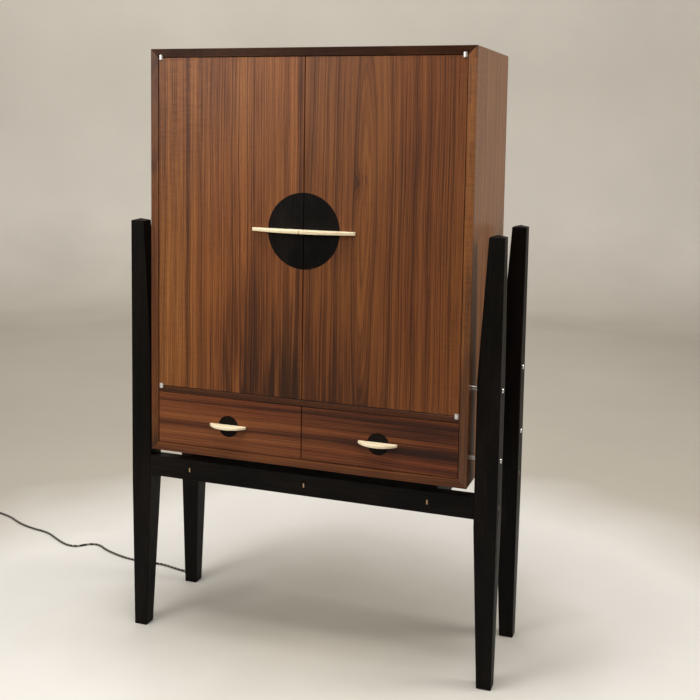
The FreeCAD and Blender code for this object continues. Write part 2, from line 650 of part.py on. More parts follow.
def drawer_box():
    """Two sides, grooved for the runners and the bottom, and the back of the right drawer."""
    inner, outer = DRAWER_BOX_X
    groove_z = (RUNNER_BASE - RUNNER_FIT, RUNNER_TOP + RUNNER_FIT)
    pieces = []
    for face, room in ((inner, inner + DRAWER_SIDE_THICK), (outer, outer - DRAWER_SIDE_THICK)):
        inward = math.copysign(DRAWER_GROOVE, room - face)
        side = block(min(face, room), max(face, room), FRONT_REAR, DRAWER_BOX_REAR,
                     DRAWER_SIDE_BASE, DRAWER_SIDE_TOP)
        groove = block(min(face, face + inward), max(face, face + inward), RUNNER_FRONT,
                       DRAWER_BOX_REAR, groove_z[0], groove_z[1])
        pieces.append(cut_all(side, [groove, drawer_bottom()]))
    pieces.append(block(inner + DRAWER_SIDE_THICK, outer - DRAWER_SIDE_THICK,
                        DRAWER_BOX_REAR - DRAWER_SIDE_THICK, DRAWER_BOX_REAR,
                        DRAWER_PANEL_TOP, DRAWER_SIDE_TOP))
    return pieces


def drawer_runners():
    """Runners of the right drawer, on the partition and on the case's side."""
    front = RUNNER_FRONT + LEDGE_GAP
    rear = DRAWER_BOX_REAR - LEDGE_GAP
    half = PARTITION_THICK / 2.0
    spans = [(half, half + RUNNER_PROUD), (INSIDE_X - RUNNER_PROUD, INSIDE_X)]
    return [block(x0, x1, front, rear, RUNNER_BASE, RUNNER_TOP) for x0, x1 in spans]


# ---- Fold-out shelf ----------------------------------------------------------------------------------------
# The leaf is drawn as it is stored, upright in front of the counter's edge, its hinge axis along X.
def knuckle_span(x, number):
    """Ends of one knuckle of the hinge at x."""
    pitch = LEAF_HINGE_LENGTH / LEAF_KNUCKLES
    start = x - LEAF_HINGE_LENGTH / 2.0 + number * pitch
    return start + LEAF_KNUCKLE_GAP / 2.0, start + pitch - LEAF_KNUCKLE_GAP / 2.0


def along_axis(radius, x0, x1):
    """Round bar on the leaf's hinge axis."""
    return cylinder(radius, V(x0, LEAF_AXIS_Y, LEAF_AXIS_Z), V(x1, LEAF_AXIS_Y, LEAF_AXIS_Z))


def counter_plate(x):
    """Hinge plate let into the counter's top, without holes."""
    half = LEAF_HINGE_LENGTH / 2.0
    return block(x - half, x + half, LEAF_AXIS_Y, LEAF_AXIS_Y + LEAF_PLATE_WIDTH,
                 LEAF_AXIS_Z - LEAF_PLATE_THICK, LEAF_AXIS_Z)


def leaf_plate(x):
    """Hinge plate let into the leaf's rear face, without holes."""
    half = LEAF_HINGE_LENGTH / 2.0
    return block(x - half, x + half, LEAF_AXIS_Y - LEAF_PLATE_THICK, LEAF_AXIS_Y,
                 LEAF_AXIS_Z, LEAF_AXIS_Z + LEAF_PLATE_WIDTH)


def counter_plate_screws(x):
    """Screws down through a counter plate."""
    y = LEAF_AXIS_Y + LEAF_PLATE_WIDTH * 0.6
    return [screw(V(x + dx, y, LEAF_AXIS_Z), V(0, 0, -1), LEAF_SCREW_LENGTH)
            for dx in (-LEAF_HINGE_LENGTH / 3.0, LEAF_HINGE_LENGTH / 3.0)]


def leaf_plate_screws(x):
    """Screws forwards through a leaf plate."""
    z = LEAF_AXIS_Z + LEAF_PLATE_WIDTH * 0.6
    return [screw(V(x + dx, LEAF_AXIS_Y, z), V(0, -1, 0), LEAF_SCREW_LENGTH)
            for dx in (-LEAF_HINGE_LENGTH / 3.0, LEAF_HINGE_LENGTH / 3.0)]


def leaf_hinge_beds(plate, screws):
    """What the three hinges take out of the board that carries the given plates."""
    reach = LEAF_HINGE_LENGTH / 2.0 + LEAF_KNUCKLE_GAP
    relief_r = LEAF_KNUCKLE_R + LEAF_KNUCKLE_CLEARANCE
    tools = []
    for x in LEAF_HINGE_X:
        tools += [along_axis(relief_r, x - reach, x + reach), plate(x)] + screws(x)
    return tools


def leaf_hinge_halves(plate, screws, own_knuckles, bore_r):
    """The three halves of the leaf's hinges on one board, each with its screws."""
    relief_r = LEAF_KNUCKLE_R + LEAF_KNUCKLE_CLEARANCE
    pieces = []
    for x in LEAF_HINGE_X:
        spans = {number: knuckle_span(x, number) for number in range(LEAF_KNUCKLES)}
        own = [along_axis(LEAF_KNUCKLE_R, *spans[number]) for number in own_knuckles]
        other = [along_axis(relief_r, spans[number][0] - LEAF_KNUCKLE_GAP, spans[number][1] + LEAF_KNUCKLE_GAP)
                 for number in spans if number not in own_knuckles]
        body = plate(x).cut(other).fuse(own).removeSplitter()
        bore = along_axis(bore_r, x - LEAF_HINGE_LENGTH, x + LEAF_HINGE_LENGTH)
        pieces += [cut_all(body, [bore] + screws(x))] + screws(x)
    return pieces


def leaf_hinge_pins():
    """Pins of the leaf's hinges, held by the counter's knuckles."""
    half = LEAF_HINGE_LENGTH / 2.0 - LEAF_KNUCKLE_GAP
    return [along_axis(LEAF_HINGE_PIN_R, x - half, x + half) for x in LEAF_HINGE_X]


def leaf_pull_place():
    """Centre x, face y and centre z of the leaf's finger pull."""
    return 0.0, LEAF_AXIS_Y - SHELF_THICK, LEAF_AXIS_Z + LEAF_DEPTH - PULL_DROP


def leaf_pull():
    """Finger pull near the stored leaf's upper edge, with its tongue."""
    x, y, z = leaf_pull_place()
    bar = crescent(x, y, z, PULL_HALF, PULL_DEPTH, PULL_END, PULL_THICK)
    return bar.fuse(tongue(x, y, z, PULL_HALF - PULL_TONGUE_INSET)).removeSplitter()


def shelf_leaf():
    """The leaf, stored upright."""
    half = INSIDE_X - LEAF_SIDE_GAP
    front = LEAF_AXIS_Y - SHELF_THICK
    top = LEAF_AXIS_Z + LEAF_DEPTH
    board = block(-half, half, front, LEAF_AXIS_Y, LEAF_AXIS_Z + LEAF_HINGE_GAP, top)
    board = board.makeChamfer(FRONT_ARRIS, edges_at(board, "Z", top))
    x, y, z = leaf_pull_place()
    mortise = tongue(x, y, z, PULL_HALF - PULL_TONGUE_INSET)
    return cut_all(board, leaf_hinge_beds(leaf_plate, leaf_plate_screws) + [mortise])


def leaf_ledge():
    """Ledge on the right side that carries the lowered leaf."""
    top = COUNTER_TOP - SHELF_THICK - LEDGE_GAP
    front = LEAF_AXIS_Y - LEAF_DEPTH + LEDGE_SETBACK
    return block(INSIDE_X - LEDGE_WIDTH, INSIDE_X, front, LEAF_AXIS_Y, top - LEDGE_HEIGHT, top)


def leaf_stop():
    """Magnet stop on the right side behind the stored leaf's upper corner."""
    top = LEAF_AXIS_Z + LEAF_DEPTH
    front = LEAF_AXIS_Y + STOP_GAP
    return block(INSIDE_X - STOP_WIDTH, INSIDE_X, front, front + STOP_DEPTH, top - STOP_HEIGHT, top)


# ---- Legs, rods and inserts --------------------------------------------------------------------------------
def leg_outer_x(z):
    """Outer side of a right leg at a height between its full width's start and its shoulder."""
    share = (z - LEG_WIDE_START) / (LEG_SHOULDER - LEG_WIDE_START)
    return LEG_OUTER_X + LEG_LEAN * share


def leg_ring(z, outer_x, outer_y, width_x, width_y):
    """Corners of a leg's level section, its four corners eased."""
    inner_x = outer_x - width_x
    inner_y = outer_y - width_y
    ring = []
    for x, y, sx, sy in ((inner_x, inner_y, 1, 1), (outer_x, inner_y, -1, 1),
                         (outer_x, outer_y, -1, -1), (inner_x, outer_y, 1, -1)):
        pair = [V(x, y + sy * LEG_ARRIS, z), V(x + sx * LEG_ARRIS, y, z)]
        ring += pair if sx == sy else pair[::-1]
    return ring


def flat_sided(rings, tip):
    """Closed solid with flat sides through level rings and up to a tip."""
    faces = [Part.Face(Part.makePolygon(rings[0] + rings[0][:1]))]
    count = len(rings[0])
    for lower, upper in zip(rings, rings[1:]):
        for start in range(count):
            end = (start + 1) % count
            corners = [lower[start], lower[end], upper[end], upper[start]]
            faces.append(Part.Face(Part.makePolygon(corners + corners[:1])))
    for start in range(count):
        corners = [rings[-1][start], rings[-1][(start + 1) % count], tip]
        faces.append(Part.Face(Part.makePolygon(corners + corners[:1])))
    shell = Part.makeShell(faces)
    shell.sewShape()
    solid = Part.makeSolid(shell)
    return solid if solid.Volume > 0 else solid.reversed()


def rod_places():
    """Y and z of the rods on each side of the case."""
    return [(y, CASE_BASE_Z + rise) for y in (-LEG_MIDDLE_Y, LEG_MIDDLE_Y) for rise in ROD_RISES]


def leg():
    """Rear right leg, bored for its rods and mortised for its rail."""
    wide_lean = leg_outer_x(LEG_WIDE_END) - LEG_OUTER_X
    top_x = leg_outer_x(LEG_SHOULDER)
    rings = [
        leg_ring(0.0, LEG_OUTER_X - FOOT_TOE_IN, LEG_OUTER_Y - FOOT_TOE_IN, LEG_FOOT_WIDTH, LEG_FOOT_WIDTH),
        leg_ring(LEG_WIDE_START, LEG_OUTER_X, LEG_OUTER_Y, LEG_WIDE, LEG_WIDE),
        leg_ring(LEG_WIDE_END, LEG_OUTER_X + wide_lean, LEG_OUTER_Y, LEG_WIDE + wide_lean, LEG_WIDE),
        leg_ring(LEG_SHOULDER, top_x, LEG_OUTER_Y, LEG_TOP_WIDTH, LEG_TOP_WIDTH),
    ]
    tip = V(top_x - LEG_TOP_WIDTH / 2.0, LEG_OUTER_Y - LEG_TOP_WIDTH / 2.0, LEG_HEIGHT)
    body = flat_sided(rings, tip)
    bores = [cylinder(ROD_R + ROD_BORE_FIT, V(CASE_X, LEG_MIDDLE_Y, CASE_BASE_Z + rise),
                      V(LEG_OUTER_X + LEG_WIDE, LEG_MIDDLE_Y, CASE_BASE_Z + rise)) for rise in ROD_RISES]
    return cut_all(body, bores + [rail_tenon(OVERRUN)])


def rod(y, z):
    """Right-hand rod with its spigot into the case and its rounded outer end."""
    tip_x = leg_outer_x(z) + ROD_PROUD
    bar = cylinder(ROD_R, V(CASE_X, y, z), V(tip_x, y, z))
    bar = bar.makeFillet(ROD_TIP_ROUND, edges_at(bar, "X", tip_x))
    spigot = cylinder(SPIGOT_R, V(CASE_X - INSERT_DEPTH, y, z), V(CASE_X, y, z))
    return bar.fuse(spigot).removeSplitter()


def rod_insert(y, z):
    """Brass insert in the right side panel."""
    start = V(CASE_X - INSERT_DEPTH, y, z)
    end = V(CASE_X, y, z)
    return cylinder(INSERT_R, start, end).cut(cylinder(SPIGOT_R, start, end))


# ---- Rails, stretchers, wedges and base panels -------------------------------------------------------------
def rail_tenon(extra=0.0):
    """Right tenon of the back rail; extra lengthens it past the leg as a cutting tool."""
    end = leg_outer_x(RAIL_MIDDLE_Z) - TENON_SHY + extra
    return block(LEG_INNER_X, end, RAIL_TENON_Y - TENON_THICK / 2.0, RAIL_TENON_Y + TENON_THICK / 2.0,
                 RAIL_MIDDLE_Z - RAIL_TENON_HEIGHT / 2.0, RAIL_MIDDLE_Z + RAIL_TENON_HEIGHT / 2.0)


def rail_wedge():
    """Wedge in the outer end of the back rail's right tenon."""
    thick, height, depth = WEDGE
    end = leg_outer_x(RAIL_MIDDLE_Z) - TENON_SHY
    return block(end - depth, end, RAIL_TENON_Y - thick / 2.0, RAIL_TENON_Y + thick / 2.0,
                 RAIL_MIDDLE_Z - height / 2.0, RAIL_MIDDLE_Z + height / 2.0)


def stretcher_tenon(x, extra=0.0):
    """Rear tenon of a stretcher; extra lengthens it past the rail as a cutting tool."""
    return block(x - TENON_THICK / 2.0, x + TENON_THICK / 2.0, RAIL_INNER_Y, LEG_OUTER_Y - TENON_SHY + extra,
                 RAIL_MIDDLE_Z - STRETCHER_TENON_HEIGHT / 2.0, RAIL_MIDDLE_Z + STRETCHER_TENON_HEIGHT / 2.0)


def stretcher_wedge(x):
    """Wedge in the outer end of a stretcher's rear tenon."""
    thick, height, depth = WEDGE
    end = LEG_OUTER_Y - TENON_SHY
    return block(x - thick / 2.0, x + thick / 2.0, end - depth, end,
                 RAIL_MIDDLE_Z - height / 2.0, RAIL_MIDDLE_Z + height / 2.0)


def base_panel():
    """Right panel of the base, in grooves of the rails and stretchers round it."""
    reach_x = BASE_GROOVE - STRETCHER_WIDTH / 2.0
    reach_y = RAIL_INNER_Y + BASE_GROOVE
    return block(STRETCHER_X[1] - reach_x, STRETCHER_X[2] + reach_x, -reach_y, reach_y,
                 BASE_PANEL_TOP - BASE_PANEL_THICK, BASE_PANEL_TOP)


def rail():
    """Back rail: bar, through tenons slit for their wedges, mortises for the stretchers and grooves."""
    bar = block(-LEG_INNER_X, LEG_INNER_X, RAIL_INNER_Y, LEG_OUTER_Y, RAIL_BASE, RAIL_TOP)
    bar = bar.makeChamfer(RAIL_ARRIS, edges_at(bar, "Y", LEG_OUTER_Y))
    body = bar.fuse(both_sides([rail_tenon()])).removeSplitter()
    mortises = [stretcher_tenon(x, OVERRUN) for x in STRETCHER_X]
    return cut_all(body, both_sides([rail_wedge(), base_panel()]) + mortises)


def stretcher(x):
    """Stretcher between the rails: a wedged through tenon at each end and grooves for the base panels."""
    half = STRETCHER_WIDTH / 2.0
    bar = block(x - half, x + half, -RAIL_INNER_Y, RAIL_INNER_Y, RAIL_BASE, RAIL_TOP)
    tenon = stretcher_tenon(x).cut(stretcher_wedge(x))
    body = bar.fuse([tenon, to_front(tenon)]).removeSplitter()
    return cut_all(body, both_sides([base_panel()]))


def tenon_wedges():
    """All the wedges of the rails' and stretchers' tenons."""
    stretchers = [stretcher_wedge(x) for x in STRETCHER_X]
    return four_corners([rail_wedge()]) + stretchers + [to_front(wedge) for wedge in stretchers]


# ---- Corner light ------------------------------------------------------------------------------------------
def light_frame():
    """Limits of the light in the left rear corner: x pair, y pair and z pair within its end caps."""
    left = -INSIDE_X + LIGHT_SIDE_GAP
    base = COUNTER_TOP + LIGHT_END_GAP + LIGHT_CAP
    top = UPPER_SHELF_BASE - LIGHT_END_GAP - LIGHT_CAP
    return (left, left + LIGHT_WIDTH), (INSIDE_REAR - LIGHT_DEPTH, INSIDE_REAR), (base, top)


def light_channel():
    """Aluminium channel, open to the front, and its two end caps."""
    (x0, x1), (y0, y1), (z0, z1) = light_frame()
    middle_z = RELIEF_BASE + RELIEF_HEIGHT / 2.0
    hollow = block(x0 + LIGHT_WALL, x1 - LIGHT_WALL, y0 - OVERRUN, y1 - LIGHT_WALL, z0, z1)
    wire_hole = cylinder(WIRE_HOLE_R, V(RELIEF_X, y0, middle_z), V(RELIEF_X, y1 + OVERRUN, middle_z))
    channel = cut_all(block(x0, x1, y0, y1, z0, z1), [hollow, wire_hole])
    caps = [block(x0, x1, y0, y1, z, z + LIGHT_CAP) for z in (z0 - LIGHT_CAP, z1)]
    return [channel] + caps


def light_diffuser():
    """Translucent strip between the channel's walls."""
    (x0, x1), (y0, _), (z0, z1) = light_frame()
    front = y0 + DIFFUSER_SETBACK
    return block(x0 + LIGHT_WALL, x1 - LIGHT_WALL, front, front + DIFFUSER_THICK, z0, z1)


# ---- Cord --------------------------------------------------------------------------------------------------
def cord_relief():
    """Housing on the case's back with a tapered boot down over the cord."""
    half = RELIEF_WIDTH / 2.0
    housing = block(RELIEF_X - half, RELIEF_X + half, CASE_REAR, CASE_REAR + RELIEF_DEPTH,
                    RELIEF_BASE, RELIEF_BASE + RELIEF_HEIGHT)
    housing = housing.makeFillet(RELIEF_ROUND, edges_at(housing, "Y", CASE_REAR + RELIEF_DEPTH))
    boot = Part.makeCone(BOOT_R[0], BOOT_R[1], BOOT_LENGTH, V(RELIEF_X, RELIEF_Y, RELIEF_BASE), V(0, 0, -1))
    return housing.fuse(boot).removeSplitter()


def corner_arc(before, corner, after):
    """Start, middle and end of the tangent arc at a corner of the route, and its radius."""
    back = before - corner
    onward = after - corner
    shorter = min(back.Length, onward.Length)
    half_turn = (math.pi - back.getAngle(onward)) / 2.0
    reach = 0.45 * shorter
    radius = reach / math.tan(half_turn)
    bisector = (V(back).normalize() + V(onward).normalize()).normalize()
    start = corner + V(back).normalize() * reach
    end = corner + V(onward).normalize() * reach
    middle = corner + bisector * (radius / math.cos(half_turn) - radius)
    return start, middle, end, radius


def cord_path(points):
    """Straight runs joined by tangent arcs as one wire, and the arcs' radii."""
    edges = []
    radii = []
    place = points[0]
    for before, corner, after in zip(points, points[1:], points[2:]):
        start, middle, end, radius = corner_arc(before, corner, after)
        edges.append(Part.LineSegment(place, start).toShape())
        edges.append(Part.Arc(start, middle, end).toShape())
        radii.append(radius)
        place = end
    edges.append(Part.LineSegment(place, points[-1]).toShape())
    return Part.Wire(edges), radii


def coil_entry():
    """Point where the cord meets the coil's outer turn."""
    last = CORD_ROUTE[-1]
    centre = V(COIL_CENTRE.x, COIL_CENTRE.y, last.z)
    outer_r = COIL_MIDDLE_R + (COIL_TURNS_ACROSS - 1) * CORD_R
    offset = centre - last
    tangent_length = math.sqrt(offset.Length ** 2 - outer_r ** 2)
    heading = math.atan2(offset.y, offset.x) - math.atan2(outer_r, tangent_length)
    return last + V(math.cos(heading), math.sin(heading), 0) * tangent_length


def cord_tube():
    """The cord from its boot to the coil, less what lies in the coil."""
    points = CORD_ROUTE + [coil_entry()]
    wire, radii = cord_path(points)
    section = Part.Wire(Part.makeCircle(CORD_R, points[0], points[1] - points[0]))
    tube = wire.makePipeShell([section], True, False)
    expected = math.pi * CORD_R ** 2 * wire.Length
    print("cord radii: " + ", ".join("%.0f" % radius for radius in radii))
    print("cord length %.1f, volume %.0f, section times length %.0f" % (wire.Length, tube.Volume, expected))
    return tube.cut(lead_coil())


def lead_coil():
    """Closed ring of the coiled length's outer shape."""
    reach = COIL_TURNS_ACROSS * (CORD_R + COIL_GAP / 2.0)
    height = COIL_TURNS_HIGH * (2.0 * CORD_R + COIL_GAP)
    base = V(COIL_CENTRE.x, COIL_CENTRE.y, CORD_FLOOR_Z - CORD_R)
    top = base + V(0, 0, height)
    body = cylinder(COIL_MIDDLE_R + reach, base, top).cut(cylinder(COIL_MIDDLE_R - reach, base, top))
    return body.makeFillet(COIL_ROUND, edges_at(body, "Z", top.z))


def clips():
    """Saddles that hold the cord to the case's back and to the rear left leg, clear of the rail."""
    case = block(-CASE_X, CASE_X, CASE_FRONT, CASE_REAR, CASE_BASE_Z, CASE_TOP)
    carrier = Part.makeCompound([to_left(leg()), rail(), case])
    pieces = []
    for number in CLIP_RUNS:
        start, end = CORD_ROUTE[number], CORD_ROUTE[number + 1]
        middle = (start + end) * 0.5
        along = (end - start).normalize()
        depth = CORD_R + CLIP_FIT + CLIP_WALL
        saddle = block(middle.x - CLIP_WIDTH / 2.0, middle.x + CLIP_WIDTH / 2.0,
                       LEG_OUTER_Y - FOOT_TOE_IN - CLIP_ROOT, middle.y + depth,
                       middle.z - CLIP_HEIGHT / 2.0, middle.z + CLIP_HEIGHT / 2.0)
        saddle = saddle.makeFillet(CLIP_WALL, edges_at(saddle, "Y", middle.y + depth))
        bore = cylinder(CORD_R + CLIP_FIT, middle - along * CLIP_HEIGHT, middle + along * CLIP_HEIGHT)
        pieces.append(saddle.cut([carrier, bore]))
    return pieces


def plug_lead():
    """Point where the cord leaves the coil for the plug, and the directions along and across it there."""
    angle = math.radians(PLUG_ANGLE)
    across = V(math.cos(angle), math.sin(angle), 0)
    along = V(-math.sin(angle), math.cos(angle), 0)
    outer_r = COIL_MIDDLE_R + (COIL_TURNS_ACROSS - 1) * CORD_R
    axis_z = PLUG_THICK / 2.0 + CORD_FLOOR_Z - CORD_R
    return V(COIL_CENTRE.x, COIL_CENTRE.y, axis_z) + across * outer_r, along, across


def cord_tail():
    """The cord from the coil to the plug's boot, less what lies in the coil."""
    tangent, along, _ = plug_lead()
    return cylinder(CORD_R, tangent, tangent + along * PLUG_TAIL).cut(lead_coil())


def mains_plug():
    """Flat two-pin plug that lies beside the coil."""
    tangent, along, across = plug_lead()
    start = tangent + along * PLUG_TAIL
    back = start + along * PLUG_BOOT
    outline = []
    for reach, half in ((0.0, PLUG_NECK), (PLUG_SHOULDER, PLUG_WIDTH), (PLUG_LENGTH, PLUG_WIDTH)):
        outline.append(back + along * reach + across * (half / 2.0))
    outline += [point - across * (2.0 * (point - back).dot(across)) for point in reversed(outline)]
    lowered = [point - V(0, 0, PLUG_THICK / 2.0) for point in outline]
    body = prism(lowered, V(0, 0, PLUG_THICK))
    body = body.makeFillet(PLUG_ROUND, body.Edges)
    boot = Part.makeCone(BOOT_R[1], BOOT_R[0], PLUG_BOOT + PLUG_ROUND, start, along)
    face = back + along * PLUG_LENGTH
    pins = [cylinder(PLUG_PIN_R, face + across * shift, face + across * shift + along * PLUG_PIN_LENGTH)
            for shift in (-PLUG_PIN_PITCH / 2.0, PLUG_PIN_PITCH / 2.0)]
    return [body.fuse(boot).removeSplitter()] + pins


# ---- Nodes -------------------------------------------------------------------------------------------------
def case_nodes():
    """Nodes of the case and of what is fixed in it."""
    right_rods = [rod(y, z) for y, z in rod_places()]
    right_inserts = [rod_insert(y, z) for y, z in rod_places()]
    leaf_hinges = leaf_hinge_halves(counter_plate, counter_plate_screws, (0, 2, 4), LEAF_HINGE_PIN_R)
    return {
        "right_side_panel": side_panel(),
        "left_side_panel": to_left(side_panel()),
        "top_panel": top_panel(),
        "bottom_panel": bottom_panel(),
        "divider_panel": divider_panel(),
        "drawer_partition": drawer_partition(),
        "back_panel": bored_back_panel(),
        "fixed_counter": fixed_counter(),
        "upper_shelf": upper_shelf(),
        "shelf_pins": both_sides(right_shelf_pins()),
        "case_hinges": case_hinges(),
        "door_catches": both_sides([door_catch()]),
        "drawer_runners": both_sides(drawer_runners()),
        "leaf_case_hinges": leaf_hinges + leaf_hinge_pins(),
        "leaf_ledges": both_sides([leaf_ledge()]),
        "leaf_stops": both_sides([leaf_stop()]),
        "light_channel": light_channel(),
        "light_diffuser": light_diffuser(),
        "standoff_rods": both_sides(right_rods),
        "rod_inserts": both_sides(right_inserts),
    }


def stand_nodes():
    """Nodes of the legs, rails, stretchers and base panels."""
    right_rear = leg()
    nodes = {
        "rear_right_leg": right_rear,
        "rear_left_leg": to_left(right_rear),
        "front_right_leg": to_front(right_rear),
        "front_left_leg": to_front(to_left(right_rear)),
        "back_rail": rail(),
        "front_rail": to_front(rail()),
        "tenon_wedges": tenon_wedges(),
        "right_base_panel": base_panel(),
        "left_base_panel": to_left(base_panel()),
    }
    for name, x in zip(("left", "centre", "right"), STRETCHER_X):
        nodes[name + "_stretcher"] = stretcher(x)
    return nodes


def front_nodes():
    """Nodes of the two doors and the two drawers."""
    right = {
        "door_panel": [door_panel()],
        "door_disc": [door_disc()],
        "door_handle": [door_handle()],
        "door_hinges": door_hinges(),
        "door_strike": [door_strike()],
        "drawer_front": [drawer_front()],
        "drawer_disc": [drawer_disc()],
        "drawer_handle": [drawer_handle()],
        "drawer_box": drawer_box(),
        "drawer_bottom": [drawer_bottom()],
    }
    nodes = {}
    for name, solids in right.items():
        nodes["right_" + name] = solids
        nodes["left_" + name] = [to_left(solid) for solid in solids]
    return nodes


def leaf_nodes():
    """Nodes of the fold-out shelf."""
    return {
        "shelf_leaf": shelf_leaf(),
        "leaf_hinges": leaf_hinge_halves(leaf_plate, leaf_plate_screws, (1, 3),
                                         LEAF_HINGE_PIN_R + LEAF_PIN_FIT),
        "leaf_pull": leaf_pull(),
    }


def cord_nodes():
    """Nodes of the cord and of what holds and ends it."""
    return {
        "cord_relief": cord_relief(),
        "cord_clips": clips(),
        "mains_lead": [cord_tube(), cord_tail()],
        "lead_coil": lead_coil(),
        "mains_plug": mains_plug(),
    }


def write_node(name, shape):
    """Write one node's solids, moved to the object's origin."""
    solids = shape if isinstance(shape, list) else [shape]
    solids = [solid for item in solids for solid in item.Solids]
    if not solids or not all(solid.isValid() and solid.Volume > 0 for solid in solids):
        raise ValueError("bad solid in " + name)
    moved = [solid.translated(V(0, ORIGIN_SHIFT_Y, 0)) for solid in solids]
    whole = moved[0] if len(moved) == 1 else Part.makeCompound(moved)
    whole.exportStep(os.path.join("parts", name + ".step"))
    return len(moved)


def main():
    """Build every node and write it to parts/."""
    os.makedirs("parts", exist_ok=True)
    nodes = {}
    for build in (case_nodes, stand_nodes, front_nodes, leaf_nodes, cord_nodes):
        nodes.update(build())
    count = sum(write_node(name, shape) for name, shape in nodes.items())
    print("%d nodes, %d solids, origin shift %.2f" % (len(nodes), count, ORIGIN_SHIFT_Y))


main()
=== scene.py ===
"""Bar cabinet with a fold-out shelf: finishes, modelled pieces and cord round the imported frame.

Metres, X to the right, Y to the back, Z up from the floor, as in the frame.
"""
import logging
import math
from dataclasses import dataclass, field, replace
from enum import Enum
from typing import Callable, ClassVar, Sequence

import bpy
from mathutils import Matrix, Vector


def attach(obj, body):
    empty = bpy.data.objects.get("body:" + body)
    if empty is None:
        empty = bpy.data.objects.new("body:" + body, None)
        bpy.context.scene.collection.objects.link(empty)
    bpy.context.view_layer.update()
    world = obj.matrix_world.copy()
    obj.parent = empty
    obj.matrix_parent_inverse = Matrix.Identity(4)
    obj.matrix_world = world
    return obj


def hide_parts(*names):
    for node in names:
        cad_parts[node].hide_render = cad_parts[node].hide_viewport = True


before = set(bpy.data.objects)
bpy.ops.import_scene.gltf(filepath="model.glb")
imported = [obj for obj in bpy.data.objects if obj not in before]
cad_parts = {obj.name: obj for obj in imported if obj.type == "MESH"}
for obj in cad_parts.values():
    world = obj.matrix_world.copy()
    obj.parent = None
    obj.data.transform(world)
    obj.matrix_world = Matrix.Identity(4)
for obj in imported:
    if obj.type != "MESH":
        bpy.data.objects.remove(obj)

LOG = logging.getLogger("bar_cabinet")
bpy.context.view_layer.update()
MM = 0.001
TOUCH = 1e-5                     # metres within which two places are one
PLAIN_WHITE = (1.0, 1.0, 1.0)
Colour = tuple[float, float, float]
Point = Sequence[float]
Socket = bpy.types.NodeSocket
Axes = tuple[Socket, Socket, Socket]
Test = Callable[[Vector, Vector], bool]


class Slot(Enum):
    """Material slots of the record."""

    WALNUT = "walnut"
    BLACK_WOOD = "black_wood"
    MAPLE = "maple"
    POLISHED_STEEL = "polished_steel"
    SATIN_STEEL = "satin_steel"
    ALUMINIUM = "brushed_aluminium"
    BRASS = "brass"
    FROSTED = "frosted_plastic"
    BLACK_PLASTIC = "black_plastic"
    CORD = "cord_rubber"


class Body(Enum):
    """Bodies that pieces ride on."""

    ROOT = "root"
    LEFT_DOOR = "left_door"
    RIGHT_DOOR = "right_door"
    LEFT_DRAWER = "left_drawer"
    RIGHT_DRAWER = "right_drawer"
    SHELF = "fold_out_shelf"


class Cut(Enum):
    """How a board lies: the axes across its grain, through its face and along its grain."""

    UPRIGHT_FRONT = "XYZ"
    UPRIGHT_SIDE = "YXZ"
    LYING_FRONT = "ZYX"
    LEVEL = "YZX"
    CROSSWISE = "XZY"
    AROUND = "level, round a box"


class Kind(Enum):
    """What a selection picks."""

    VERTEX = "vertices"
    EDGE = "edges"
    FACE = "polygons"


def srgb(red: int, green: int, blue: int) -> Colour:
    """Linear colour of a screen colour whose parts go from 0 to 255."""
    shares = (red / 255.0, green / 255.0, blue / 255.0)
    return tuple(s / 12.92 if s <= 0.04045 else ((s + 0.055) / 1.055) ** 2.4 for s in shares)


